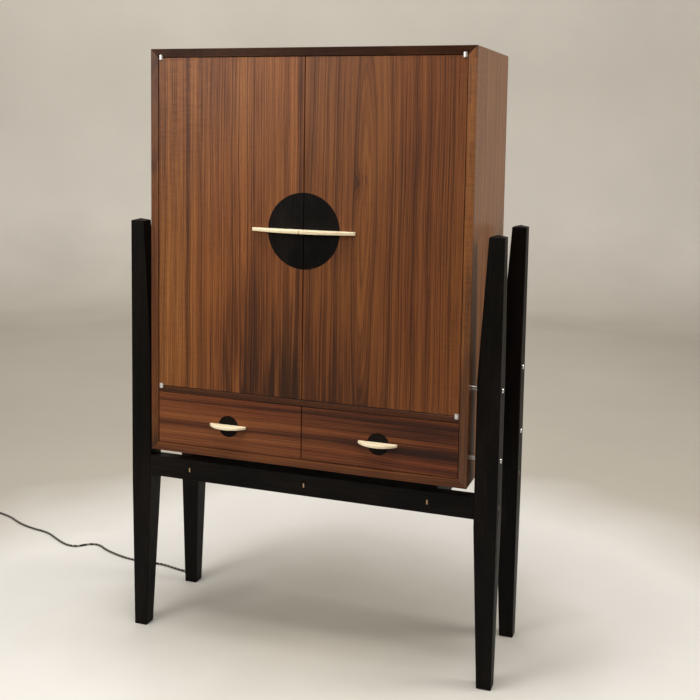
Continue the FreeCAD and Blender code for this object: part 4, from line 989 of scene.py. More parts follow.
    def repeat(self, places: Sequence[Point]) -> "Bench":
        """Copies what lies on the bench, drawn about the origin, to each place.

        Args:
            places: Where the copies' origins come.

        Returns:
            The bench.
        """
        model = self.obj
        copies = []
        for place in places:
            select(model)
            bpy.ops.object.duplicate()
            copies.append(bpy.context.object)
            bpy.ops.transform.translate(value=tuple(place))
            bpy.ops.object.transform_apply(location=True, rotation=True, scale=True)
        bpy.data.objects.remove(model)
        select(*copies)
        bpy.ops.object.join()
        self.obj = copies[0]
        self.obj.name = self.obj.data.name = self.name
        return self

    def carve(self, tool: "Bench") -> "Bench":
        """Cuts another bench's mesh out of this one and discards it.

        Args:
            tool: The bench that holds the cutter.

        Returns:
            The bench.
        """
        select(self.obj)
        modifier = self.obj.modifiers.new("carve", "BOOLEAN")
        modifier.operation = "DIFFERENCE"
        modifier.object = tool.obj
        bpy.ops.object.modifier_apply(modifier="carve")
        bpy.data.objects.remove(tool.obj)
        return self

    def join(self, *others: "Bench") -> "Bench":
        """Takes other benches' meshes into this one.

        Args:
            others: The benches that give theirs up.

        Returns:
            The bench.
        """
        select(self.obj, *(bench.obj for bench in others))
        bpy.ops.object.join()
        return self

    def finish(self, finish: Finish, body: Body, *nodes: str, smooth: float = 32.0) -> bpy.types.Object:
        """Closes the piece: smooth faces, its finish, its body and the nodes it stands for.

        Args:
            finish: Its finish.
            body: The body it rides on.
            nodes: Frame nodes that it replaces.
            smooth: Angle up to which faces meet smoothly, in degrees.

        Returns:
            The piece.
        """
        select(self.obj)
        bpy.ops.object.shade_smooth_by_angle(angle=math.radians(smooth))
        self.obj.data.materials.clear()
        self.obj.data.materials.append(finish.material())
        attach(self.obj, body.value)
        if nodes:
            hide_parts(*nodes)
        deselect()
        return self.obj


def dress(node: str, finish: Finish, softness: float = 0.0) -> bpy.types.Object:
    """Gives a frame node its finish, and rounds its sharp edges where that is asked for.

    Args:
        node: The node's name.
        finish: The finish.
        softness: Width of the rounding, or 0 for none.

    Returns:
        The node's object.
    """
    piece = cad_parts[node]
    for slot in piece.material_slots:
        slot.material = finish.material()
    if softness > 0.0:
        weld = piece.modifiers.new("weld", "WELD")
        weld.merge_threshold = TOUCH
        flat = piece.modifiers.new("flat_faces", "DECIMATE")
        flat.decimate_type = "DISSOLVE"
        flat.angle_limit = math.radians(FLAT)
        soft = piece.modifiers.new("soft_edges", "BEVEL")
        soft.limit_method = "ANGLE"
        soft.angle_limit = math.radians(SHARP)
        soft.width = softness
        soft.segments = 2
    return piece


class SubAssembly:
    """A group of pieces that are made together."""

    def build(self) -> list[bpy.types.Object]:
        """Makes the group's pieces and dresses its nodes."""
        raise NotImplementedError


@dataclass(frozen=True)
class CrossScrew:
    """Round-headed screw seen from outside, with a cross recess."""

    radius: float
    height: float

    SIDES: ClassVar[int] = 28
    SUNK: ClassVar[float] = 0.5 * MM            # below the face that it sits on
    DOME: ClassVar[float] = 0.8                 # rounding, as a share of the height
    FLOOR: ClassVar[float] = 0.35               # recess's floor, as a share of the height
    HALF_WIDTH: ClassVar[float] = 0.16          # of a slot of the cross, as shares of the radius
    HALF_LENGTH: ClassVar[float] = 0.62

    def shape(self, name: str) -> Bench:
        """Makes the screw, facing +Y at the origin.

        Args:
            name: Name of the piece it belongs to.

        Returns:
            The bench that holds it.
        """
        height, floor = self.height, self.height * self.FLOOR
        screw = Bench(name).bar(self.radius, (0, -self.SUNK, 0), (0, height, 0), self.SIDES)
        screw.pick(Kind.EDGE, lambda middle, along: middle.y > height - TOUCH / 10 and abs(along.y) < LEVEL)
        screw.bevel(height * self.DOME)
        width, length = self.radius * self.HALF_WIDTH, self.radius * self.HALF_LENGTH
        for half_x, half_z in ((width, length), (length, width)):
            slot = Bench(name + "_recess").block((-half_x, floor, -half_z), (half_x, 2 * height, half_z))
            screw.carve(slot)
        return screw


@dataclass(frozen=True)
class BowedBar:
    """Boat-shaped bar handle: straight behind, one arc in front, a tongue at its back."""

    x: float
    back_y: float
    z: float
    half: float
    depth: float
    end: float
    thick: float
    tongue: tuple[float, float]         # ends of the tongue, along x
    rounding: float = 1.3 * MM
    tongue_depth: float = 8.0 * MM
    tongue_half: float = 2.0 * MM
    sides: int = 360

    def radius(self) -> float:
        """Radius of the arc."""
        rise = self.depth - self.end
        return (self.half ** 2 + rise ** 2) / (2.0 * rise)

    def shape(self, name: str, start: float, stop: float) -> Bench:
        """Makes the bar, or the part of it between two planes.

        Args:
            name: Name of the piece.
            start: Its left end.
            stop: Its right end.

        Returns:
            The bench that holds it.
        """
        radius = self.radius()
        middle_y = self.back_y - self.depth + radius
        low, high = self.z - self.thick / 2, self.z + self.thick / 2
        bench = Bench(name).bar(radius, (self.x, middle_y, low), (self.x, middle_y, high), self.sides)
        for x, outwards in ((self.x, (0, 1, 0)), (start, (-1, 0, 0)), (stop, (1, 0, 0))):
            bench.slice((x, self.back_y, self.z), outwards)
        bench.ease(self.rounding, 4)
        left, right = self.tongue
        return bench.block((left, self.back_y, self.z - self.tongue_half),
                           (right, self.back_y + self.tongue_depth, self.z + self.tongue_half))


# ---- Camera and studio ---------------------------------------------------------------------------------
LAMP_WHITE = (1.0, 0.995, 0.98)


@dataclass(frozen=True)
class SoftBox:
    """Rectangular studio lamp."""

    name: str
    place: tuple[float, float, float]
    aim: tuple[float, float, float]
    size: tuple[float, float]
    power: float
    colour: Colour = LAMP_WHITE

    def build(self) -> bpy.types.Object:
        """Hangs the lamp.

        Returns:
            The lamp.
        """
        data = bpy.data.lights.new(self.name, "AREA")
        data.shape = "RECTANGLE"
        data.size, data.size_y = self.size
        data.energy = self.power
        data.color = self.colour
        lamp = add_object(self.name, data)
        turn = (Vector(self.aim) - Vector(self.place)).to_track_quat("-Z", "Y")
        lamp.matrix_world = Matrix.Translation(self.place) @ turn.to_matrix().to_4x4()
        return lamp


@dataclass
class Studio(SubAssembly):
    """Camera, lamps and the pale sweep that the cabinet stands on."""

    place: tuple[float, float, float] = (0.908744, -2.461946, 1.290895)
    heading: float = 19.395          # degrees towards -X from +Y
    pitch: float = 5.288             # degrees down
    roll: float = 0.848
    lens: float = 54.057
    sensor: float = 36.0
    shift: tuple[float, float] = (0.00773, -0.17580)
    floor_radius: float = 5.2
    rise_radius: float = 1.8
    rise_steps: int = 8
    rim: float = 0.5                 # ring of faces inside the floor's edge
    wall_height: float = 6.5
    sides: int = 96
    world_level: float = 0.30
    world_colour: Colour = (1.0, 0.985, 0.955)
    boxes: tuple[SoftBox, ...] = (
        SoftBox("key_box", (-1.15, -1.8, 1.85), (-0.3, -0.17, 1.35), (0.9, 0.9), 24.0),
        SoftBox("top_box", (-0.1, -0.6, 3.8), (0.0, -0.2, 0.0), (2.2, 1.8), 128.0),
        SoftBox("back_box", (-1.6, 2.8, 4.6), (-1.4, 6.2, 1.6), (5.0, 2.4), 172.0),
        SoftBox("right_box", (3.2, 0.7, 2.4), (0.4, 0.0, 1.35), (1.2, 1.8), 60.0, (1.0, 0.98, 0.95)))

    def camera(self) -> bpy.types.Object:
        """Sets up the camera.

        Returns:
            The camera.
        """
        data = bpy.data.cameras.new("camera")
        data.lens = self.lens
        data.sensor_width = self.sensor
        data.shift_x, data.shift_y = self.shift
        camera = add_object("camera", data)
        turn = (Matrix.Rotation(math.radians(self.heading), 4, "Z")
                @ Matrix.Rotation(math.radians(90.0 - self.pitch), 4, "X")
                @ Matrix.Rotation(math.radians(self.roll), 4, "Z"))
        camera.matrix_world = Matrix.Translation(self.place) @ turn
        bpy.context.scene.camera = camera
        return camera

    def sweep(self) -> bpy.types.Object:
        """Floor that curves up into a wall all round.

        Returns:
            The sweep.
        """
        bench = Bench("studio_sweep")
        bpy.ops.mesh.primitive_circle_add(vertices=self.sides, radius=self.floor_radius, fill_type="NGON")
        bench.take().pick(Kind.FACE, lambda middle, normal: True).inset(self.rim)
        radius, height = self.floor_radius, 0.0
        for step in range(1, self.rise_steps + 1):
            angle = math.pi / 2.0 * step / self.rise_steps
            next_radius = self.floor_radius + self.rise_radius * math.sin(angle)
            next_height = self.rise_radius * (1.0 - math.cos(angle))
            self.grow(radius, next_radius, next_height - height)
            radius, height = next_radius, next_height
        self.grow(radius, radius, self.wall_height - height)
        bench.edit()
        bpy.ops.mesh.normals_make_consistent(inside=True)
        sweep = bench.obj
        select(sweep)
        bpy.ops.object.shade_smooth()
        sweep.data.materials.append(Backdrop("studio_backdrop").material())
        return sweep

    def grow(self, radius: float, next_radius: float, rise: float) -> None:
        """Extrudes the sweep's open edge outwards and up.

        Args:
            radius: Radius of the edge.
            next_radius: Radius of the new edge.
            rise: Height from one to the other.
        """
        bpy.ops.mesh.select_mode(type="EDGE")
        bpy.ops.mesh.select_all(action="DESELECT")
        bpy.ops.mesh.select_non_manifold()
        bpy.ops.mesh.extrude_region_move(TRANSFORM_OT_translate={"value": (0.0, 0.0, rise)})
        factor = next_radius / radius
        bpy.ops.transform.resize(value=(factor, factor, 1.0), center_override=(0.0, 0.0, 0.0))

    def build(self) -> list[bpy.types.Object]:
        """Sets up the camera, the sweep, the lamps and the world.

        Returns:
            An empty list, as none of them is a piece.
        """
        self.camera()
        self.sweep()
        for box in self.boxes:
            box.build()
        world = bpy.data.worlds.new("studio_world")
        world.use_nodes = True
        background = world.node_tree.nodes["Background"]
        background.inputs["Color"].default_value = (*self.world_colour, 1.0)
        background.inputs["Strength"].default_value = self.world_level
        bpy.context.scene.world = world
        bpy.context.scene.view_settings.view_transform = "Standard"
        return []


# ---- Cord ----------------------------------------------------------------------------------------------
@dataclass
class MainsLead(SubAssembly):
    """The cord from its boot to the coil that puts the rest of it away."""

    radius: float = 3.0 * MM
    length: float = 3.0
    floor: float = 3.05 * MM         # height of its middle where it lies
    drop: list[tuple[float, float, float]] = field(default_factory=lambda: [
        (-0.3750, 0.1930, 0.990), (-0.3750, 0.1930, 0.935), (-0.3768, 0.1931, 0.857),
        (-0.3815, 0.1933, 0.779), (-0.3895, 0.1931, 0.702), (-0.4025, 0.1923, 0.626),
        (-0.4200, 0.1890, 0.550), (-0.4370, 0.1825, 0.474), (-0.4480, 0.1767, 0.394),
        (-0.4535, 0.1738, 0.312), (-0.4558, 0.1727, 0.228), (-0.4564, 0.1725, 0.140),
        (-0.4570, 0.1733, 0.054)])
    lying: list[tuple[float, float]] = field(default_factory=lambda: [
        (-0.4860, 0.1770), (-0.5300, 0.1835), (-0.5850, 0.1995), (-0.6450, 0.1915), (-0.7120, 0.1985),
        (-0.7920, 0.2265), (-0.8360, 0.2575), (-0.8700, 0.2485), (-0.8900, 0.2195), (-0.9260, 0.2165),
        (-0.9750, 0.2405), (-1.0400, 0.2825), (-1.1100, 0.2925), (-1.1750, 0.3155), (-1.2300, 0.3485),
        (-1.2780, 0.3645)])
    coil_centre: tuple[float, float] = (-1.335, 0.3405)
    turn_radii: tuple[float, float, float] = (39.0 * MM, 33.0 * MM, 27.0 * MM)
    layer_rise: float = 6.2 * MM
    entry: float = 73.7              # where the cord meets the coil, degrees counter-clockwise from +X
    shift_arc: float = 60.0          # arc over which it passes to the next turn or layer
    first_shift: float = 240.0       # from the entry to the first such arc
    leaving: float = 1906.3          # from the entry to where it leaves for the plug
    points_per_turn: int = 18
    plug_axis: float = 6.9 * MM
    tail: tuple[float, float] = (12.0 * MM, 32.0 * MM)      # from the coil's side to its last points

    def coil_place(self, angle: float) -> tuple[float, float]:
        """Radius and height of the wound cord.

        Args:
            angle: Degrees from the entry.

        Returns:
            Radius and height of its middle.
        """
        outer, middle, inner = self.turn_radii
        low, high = self.floor, self.floor + self.layer_rise
        arc, first = self.shift_arc, self.first_shift
        shifts = ((first, middle, low), (first + 360.0, inner, low), (first + 720.0 - arc, inner, high),
                  (first + 960.0, middle, high), (first + 1320.0, outer, high))
        radius, height = outer, low
        for start, next_radius, next_height in shifts:
            share = min(1.0, max(0.0, (angle - start) / arc))
            share = share * share * (3.0 - 2.0 * share)
            radius += (next_radius - radius) * share
            height += (next_height - height) * share
        return radius, height

    def coil(self) -> list[tuple[float, float, float]]:
        """Points of the coil's turns, a little outside them, as the spline runs inside its points.

        Returns:
            The points, from the entry on.
        """
        step = 360.0 / self.points_per_turn
        swell = 1.0 / math.cos(math.radians(step) / 2.0)
        points = []
        for number in range(1, int(self.leaving / step) + 1):
            radius, height = self.coil_place(number * step)
            angle = math.radians(self.entry + number * step)
            points.append((self.coil_centre[0] + radius * swell * math.cos(angle),
                           self.coil_centre[1] + radius * swell * math.sin(angle), height))
        return points

    def build(self) -> list[bpy.types.Object]:
        """Lays the cord as one smooth spline.

        Returns:
            The cord alone.
        """
        outer = self.turn_radii[0]
        x, y = self.coil_centre[0] - outer, self.coil_centre[1]
        top = self.floor + self.layer_rise
        points = self.drop + [(*place, self.floor) for place in self.lying] + self.coil()
        points += [(x, y, top), (x, y - self.tail[0], (top + self.plug_axis) / 2.0),
                   (x, y - self.tail[1], self.plug_axis)]
        curve = bpy.data.curves.new("mains_cord", "CURVE")
        curve.dimensions = "3D"
        spline = curve.splines.new("NURBS")
        spline.points.add(len(points) - 1)
        for target, place in zip(spline.points, points):
            target.co = (*place, 1.0)
        spline.order_u = 3
        spline.use_endpoint_u = True
        spline.resolution_u = 8
        curve.bevel_depth = self.radius
        curve.bevel_resolution = 5
        curve.use_fill_caps = True
        cord = add_object("mains_cord", curve)
        curve.materials.append(JACKET.material())
        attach(cord, Body.ROOT.value)
        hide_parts("mains_lead", "lead_coil")
        return [cord]


# ---- Case and interior ---------------------------------------------------------------------------------
FRONT_FACE = -0.1715             # doors' and drawers' front faces
SIDES = (("left", -1), ("right", 1))
SOFT_BOARD = 0.4 * MM            # widths of the edges' rounding
SOFT_FRONT = 0.3 * MM
SOFT_METAL = 0.25 * MM


def mirrored(shift: float) -> list[tuple[float, float, float]]:
    """A move to the left and the same one to the right."""
    return [(sign * shift, 0.0, 0.0) for _, sign in SIDES]


@dataclass
class Case(SubAssembly):
    """Walnut case: mitred sides, top and bottom, divider, partition and back."""

    board_softness: float = 0.35 * MM
    back_face: float = 0.1835
    screw_columns: tuple[float, ...] = (-0.391, 0.391)
    screw_heights: tuple[float, ...] = (0.56, 0.70, 0.84, 0.97, 1.10, 1.25, 1.40)
    screw_rows: tuple[float, ...] = (0.495, 1.465)
    screws_across: tuple[float, ...] = (-0.30, -0.15, 0.0, 0.15, 0.30)
    screw: CrossScrew = CrossScrew(3.4 * MM, 1.4 * MM)

    def finishes(self) -> dict[str, Finish]:
        """Finish of each board, by node.

        Returns:
            The nodes and their finishes.
        """
        return {
            "left_side_panel": Walnut("left_side_walnut", cut=Cut.UPRIGHT_SIDE, heart=0.35, waist=0.9,
                                      depth=0.10, bow=0.05, seed=1.3, shade=0.84),
            "right_side_panel": Walnut("right_side_walnut", cut=Cut.UPRIGHT_SIDE, heart=-0.42, waist=1.0,
                                       depth=0.10, bow=0.05, seed=2.7, shade=1.42, tint=(1.0, 1.04, 0.88),
                                       red=0.1, gloss=0.5, roughness=(0.38, 0.32)),
            "top_panel": Walnut("top_walnut", cut=Cut.LEVEL, heart=0.3, depth=0.10, bow=0.05, seed=3.9,
                                shade=0.24, tint=(1.0, 0.93, 0.90), gloss=0.08),
            "bottom_panel": Walnut("bottom_walnut", cut=Cut.LYING_FRONT, heart=0.62, depth=0.10, bow=0.05,
                                   seed=5.2, shade=0.95, tint=(1.0, 0.90, 0.86)),
            "divider_panel": Walnut("divider_walnut", cut=Cut.LYING_FRONT, heart=0.75, depth=0.04, bow=0.08,
                                    seed=6.1, shade=0.38, tint=(1.0, 0.88, 0.84)),
            "drawer_partition": Walnut("partition_walnut", cut=Cut.UPRIGHT_SIDE, heart=0.2, depth=0.10,
                                       seed=7.4),
            "back_panel": Walnut("back_walnut", heart=0.05, waist=0.95, depth=0.03, bow=0.05, seed=8.8,
                                 shade=0.95),
        }

    def back_screws(self) -> bpy.types.Object:
        """Round-headed screws round the back panel's edges.

        Returns:
            The screws, as one piece.
        """
        places = [(x, self.back_face, z) for x in self.screw_columns for z in self.screw_heights]
        places += [(x, self.back_face, z) for z in self.screw_rows for x in self.screws_across]
        return self.screw.shape("back_panel_screws").repeat(places).finish(BRASS, Body.ROOT)

    def build(self) -> list[bpy.types.Object]:
        """Dresses the case's boards and screws the back panel on."""
        made = [dress(node, finish, self.board_softness) for node, finish in self.finishes().items()]
        return made + [self.back_screws()]


@dataclass
class Interior(SubAssembly):
    """Counter, upper shelf, pins, runners, hinges and catches."""

    catch_low: tuple[float, float, float] = (-0.020, -0.1512, 1.446)        # one catch, drawn about x = 0
    catch_high: tuple[float, float, float] = (0.020, -0.1325, 1.460)
    catch_shift: float = 32.0 * MM
    catch_rim: float = 1.4 * MM             # round the recess of the pole plates
    catch_slope: float = 0.4 * MM
    catch_recess: float = 1.2 * MM
    pole_rise: float = 2.2 * MM             # pole plate's middle over or under the catch's
    pole_half: float = 0.8 * MM
    pole_inset: float = 4.0 * MM
    pole_reach: tuple[float, float] = (0.2 * MM, 3.0 * MM)      # its front and back behind the catch's face
    catch_screw: CrossScrew = CrossScrew(2.6 * MM, 1.0 * MM)
    catch_screw_shift: float = 12.0 * MM
    catch_screw_back: float = 2.0 * MM      # behind the catch's middle
    stop_low: tuple[float, float, float] = (-0.005, 0.0058761, 1.130)       # one stop, drawn about x = 0
    stop_high: tuple[float, float, float] = (0.005, 0.0178761, 1.160)
    stop_shift: float = 381.0 * MM
    magnet_radius: float = 3.6 * MM
    magnet_depth: float = 3.0 * MM
    magnet_sunk: float = 0.15 * MM
    sink_radius: float = 4.0 * MM
    sink_depth: float = 0.8 * MM
    rounding: float = 0.8 * MM
    magnet_rounding: float = 0.3 * MM

    def catches(self) -> bpy.types.Object:
        """Magnet catches under the top: housing, two pole plates in a recess, two screws from below.

        Returns:
            Both catches, as one piece.
        """
        name = "magnet_catches"
        low, high = Vector(self.catch_low), Vector(self.catch_high)
        housing = Bench(name).block(low, high).ease(self.rounding, 3)
        housing.pick(Kind.FACE, lambda middle, normal: normal.y < -FACING)
        housing.inset(self.catch_rim).inset(self.catch_slope, -self.catch_recess)
        middle = (low + high) / 2.0
        front, back = (low.y + reach for reach in self.pole_reach)
        for rise in (-self.pole_rise, self.pole_rise):
            height = middle.z + rise
            housing.block((low.x + self.pole_inset, front, height - self.pole_half),
                          (high.x - self.pole_inset, back, height + self.pole_half))
        screws = self.catch_screw.shape(name + "_screws")
        screws.obj.rotation_euler.x = math.radians(-90.0)
        shifts = (-self.catch_screw_shift, self.catch_screw_shift)
        screws.repeat([(shift, middle.y + self.catch_screw_back, low.z) for shift in shifts])
        housing.join(screws).repeat(mirrored(self.catch_shift))
        return housing.finish(SATIN, Body.ROOT, "door_catches")

    def stops(self) -> bpy.types.Object:
        """Stops of the stored shelf, each with a round magnet sunk into its face.

        Returns:
            Both stops, as one piece.
        """
        name = "magnet_stops"
        low, high = Vector(self.stop_low), Vector(self.stop_high)
        middle = (low.z + high.z) / 2.0
        stop = Bench(name).block(low, high).ease(self.rounding, 3)
        sink = Bench(name + "_sink").bar(self.sink_radius, (0, low.y - MM, middle),
                                         (0, low.y + self.sink_depth, middle))
        magnet = Bench(name + "_magnet").bar(self.magnet_radius, (0, low.y + self.magnet_sunk, middle),
                                             (0, low.y + self.magnet_depth, middle))
        stop.carve(sink).join(magnet.ease(self.magnet_rounding)).repeat(mirrored(self.stop_shift))
        return stop.finish(SATIN, Body.ROOT, "leaf_stops")

    def finishes(self) -> dict[str, Finish]:
        """Finish of each board, by node.

        Returns:
            The nodes and their finishes.
        """
        return {
            "fixed_counter": Walnut("counter_walnut", cut=Cut.LEVEL, heart=0.1, depth=0.05, bow=0.2,
                                    seed=9.6),
            "upper_shelf": Walnut("shelf_walnut", cut=Cut.LEVEL, heart=-0.05, depth=0.04, bow=0.2,
                                  seed=10.3),
            "leaf_ledges": Walnut("ledge_walnut", cut=Cut.CROSSWISE, depth=0.10, seed=11.5),
            "drawer_runners": Maple("runner_maple", cut=Cut.CROSSWISE, seed=4.0),
        }

    def build(self) -> list[bpy.types.Object]:
        """Dresses what is fixed inside the case.

        Returns:
            The pieces.
        """
        made = [dress(node, finish, SOFT_BOARD) for node, finish in self.finishes().items()]
        return made + [
            dress("shelf_pins", POLISHED),
            dress("case_hinges", NICKEL, SOFT_METAL),
            self.catches(),
            self.stops(),
            dress("leaf_case_hinges", BRASS, SOFT_FRONT),
            dress("rod_inserts", BRASS),
        ]


# ---- Doors and drawers ---------------------------------------------------------------------------------
@dataclass
class Fronts(SubAssembly):
    """Two doors over two drawers, with the black discs let into them and their pale handles."""

    door_handle: BowedBar = BowedBar(x=0.0, back_y=FRONT_FACE, z=1.05125, half=0.130, depth=31 * MM,
                                     end=6 * MM, thick=8 * MM, tongue=(0.010, 0.110))
    drawer_handle: BowedBar = BowedBar(x=0.19275, back_y=FRONT_FACE, z=0.56175, half=0.048, depth=29 * MM,
                                       end=5 * MM, thick=6.2 * MM, tongue=(0.16475, 0.22075))
    meeting_gap: float = 1.0 * MM
    door_back: float = -0.1515
    strike_thick: float = 2.0 * MM
    strike_rounding: float = 0.3 * MM
    strike_x: tuple[float, float] = (0.012, 0.052)
    strike_z: tuple[float, float] = (1.4465, 1.4585)
    strike_screw: CrossScrew = CrossScrew(2.6 * MM, 0.7 * MM)
    strike_screw_inset: float = 7.0 * MM
    strike_screw_sunk: float = 0.8 * MM
    strike_sink_radius: float = 2.9 * MM
    box_softness: float = 0.5 * MM

    def finishes(self) -> dict[str, Finish]:
        """Finish of each front, by node.

        Returns:
            The nodes and their finishes.
        """
        drawer = Walnut("left_drawer_walnut", cut=Cut.LYING_FRONT, heart=0.46, waist=-0.1, depth=0.03,
                        bow=0.06, seed=43.0, shade=0.96, tint=(1.0, 0.85, 0.88), red=0.6, contrast=2.4)
        return {
            # the doors' clouds darken their lower parts: partly the wood's darker figure, partly painted
            # shade towards the bottom
            "left_door_panel": Walnut("left_door_walnut", heart=-0.160, waist=1.60, depth=0.002, bow=0.0085,
                                      core=0.07, seed=21.0, shade=1.40, tint=(1.0, 1.035, 0.96), red=0.2,
                                      gloss=0.22, cloud=Cloud(-0.080, 0.60, 0.20, 0.36, 0.22)),
            "right_door_panel": Walnut("right_door_walnut", heart=0.142, waist=1.06, depth=0.010, bow=0.09,
                                       seed=37.0, knot=(0.138, 1.167), shade=1.12, tint=(1.0, 0.97, 0.86),
                                       cloud=Cloud(0.03, 0.60, 0.18, 0.28, 0.12)),
            "left_drawer_front": drawer,
            "right_drawer_front": replace(drawer, name="right_drawer_walnut", shade=0.86,
                                          cloud=Cloud(0.585, 0.34, 0.10, 0.26, 0.10)),
        }

    def strike(self, side: str, sign: int) -> bpy.types.Object:
        """Makes a strike: a plate let flush into the door's back, with two countersunk screws.

        Args:
            side: The door's side.
            sign: -1 for the left, 1 for the right.

        Returns:
            The piece.
        """
        name = side + "_strike_plate"
        left, right = sorted(sign * end for end in self.strike_x)
        low, high = self.strike_z
        face, middle = self.door_back, (low + high) / 2.0
        plate = Bench(name).block((left, face - self.strike_thick, low), (right, face, high))
        plate.ease(self.strike_rounding)
        columns = (left + self.strike_screw_inset, right - self.strike_screw_inset)
        places = [(x, face - self.strike_screw_sunk, middle) for x in columns]
        for place in places:
            outside = (place[0], face + MM, middle)
            plate.carve(Bench(name + "_sink").bar(self.strike_sink_radius, place, outside, 32))
        heads = self.strike_screw.shape(name + "_heads").repeat(places)
        return plate.join(heads).finish(SATIN, Body(side + "_door"), side + "_door_strike")

    def half_handle(self, side: str, sign: int) -> bpy.types.Object:
        """Makes a door's half of the large handle.

        Args:
            side: The door's side.
            sign: -1 for the left, 1 for the right.

        Returns:
            The piece.
        """
        whole = self.door_handle
        half = replace(whole, tongue=tuple(sorted(sign * end for end in whole.tongue)))
        ends = sorted((sign * self.meeting_gap, sign * whole.half))
        bar = half.shape(side + "_door_bar", *ends)
        return bar.finish(HANDLE_MAPLE, Body(side + "_door"), side + "_door_handle")

    def small_handle(self, side: str, sign: int) -> bpy.types.Object:
        """Makes a drawer's handle.

        Args:
            side: The drawer's side.
            sign: -1 for the left, 1 for the right.

        Returns:
            The piece.
        """
        right = self.drawer_handle
        size = replace(right, x=sign * right.x, tongue=tuple(sorted(sign * end for end in right.tongue)))
        bar = size.shape(side + "_drawer_bar", size.x - size.half, size.x + size.half)
        return bar.finish(HANDLE_MAPLE, Body(side + "_drawer"), side + "_drawer_handle")

    def build(self) -> list[bpy.types.Object]:
        """Dresses the fronts and makes their strikes and handles.

        Returns:
            The pieces.
        """
        made = [dress(node, finish, SOFT_FRONT) for node, finish in self.finishes().items()]
        disc = BlackWood("disc_black_wood", seed=5.0)
        for side, _ in SIDES:
            made += [
                dress(side + "_door_disc", disc),
                dress(side + "_drawer_disc", disc),
                dress(side + "_door_hinges", NICKEL, SOFT_METAL),
                dress(side + "_drawer_box", BOX_MAPLE, self.box_softness),
                dress(side + "_drawer_bottom", BOTTOM_MAPLE),
            ]
        for side, sign in SIDES:
            made += [self.strike(side, sign), self.half_handle(side, sign), self.small_handle(side, sign)]
        return made


@dataclass
class FoldOutShelf(SubAssembly):
    """Shelf that folds down out of the bar compartment, with its pull and hinges."""

    pull: BowedBar = BowedBar(x=0.0, back_y=-0.012424, z=1.145, half=0.030, depth=10 * MM, end=3 * MM,
                              thick=6 * MM, tongue=(-0.022, 0.022), rounding=0.9 * MM)
    walnut: Walnut = Walnut("leaf_walnut", cut=Cut.LYING_FRONT, heart=1.0, depth=0.05, bow=0.2, seed=12.9)

    def build(self) -> list[bpy.types.Object]:
        """Dresses the shelf and makes its pull.

        Returns:
            The pieces.
        """
        bar = self.pull.shape("leaf_bar", -self.pull.half, self.pull.half)
        return [
            dress("shelf_leaf", self.walnut, SOFT_BOARD),
            dress("leaf_hinges", BRASS, SOFT_FRONT),
            bar.finish(HANDLE_MAPLE, Body.SHELF, "leaf_pull"),
        ]


# ---- Stand ---------------------------------------------------------------------------------------------
@dataclass
class Stand(SubAssembly):
    """Tapered legs, rails, stretchers, base panels, wedges and polished rods."""

    leg_softness: float = 0.6 * MM

    def timbers(self, nodes: Sequence[str], cut: Cut, seed: float, step: float,
                softness: float) -> list[bpy.types.Object]:
        """Dresses a run of black timbers, each with its own grain."""
        return [dress(node, BlackWood(node + "_black_wood", cut=cut, seed=seed + number * step), softness)
                for number, node in enumerate(nodes)]

    def build(self) -> list[bpy.types.Object]:
        """Dresses the stand.

        Returns:
            The pieces.
        """
        legs = [end + side + "_leg" for end in ("front_", "rear_") for side, _ in SIDES]
        made = self.timbers(legs, Cut.UPRIGHT_FRONT, 11.0, 3.7, self.leg_softness)
        made += self.timbers(("front_rail", "back_rail"), Cut.LYING_FRONT, 31.0, 5.3, SOFT_BOARD)
        stretchers = ("left_stretcher", "centre_stretcher", "right_stretcher")
        made += self.timbers(stretchers, Cut.CROSSWISE, 41.0, 2.9, SOFT_BOARD)
        panel = BlackWood("base_panel_black_wood", cut=Cut.LEVEL, seed=53.0)
        made += [dress(side + "_base_panel", panel) for side, _ in SIDES]
        return made + [dress("tenon_wedges", WEDGE_MAPLE), dress("standoff_rods", ROD_CHROME)]


@dataclass
class CornerLight(SubAssembly):
    """Aluminium channel with a frosted diffuser in the case's rear left corner."""

    channel_softness: float = 0.2 * MM

    def build(self) -> list[bpy.types.Object]:
        """Dresses the light."""
        return [dress("light_channel", ALUMINIUM, self.channel_softness),
                dress("light_diffuser", FROSTED, SOFT_FRONT)]


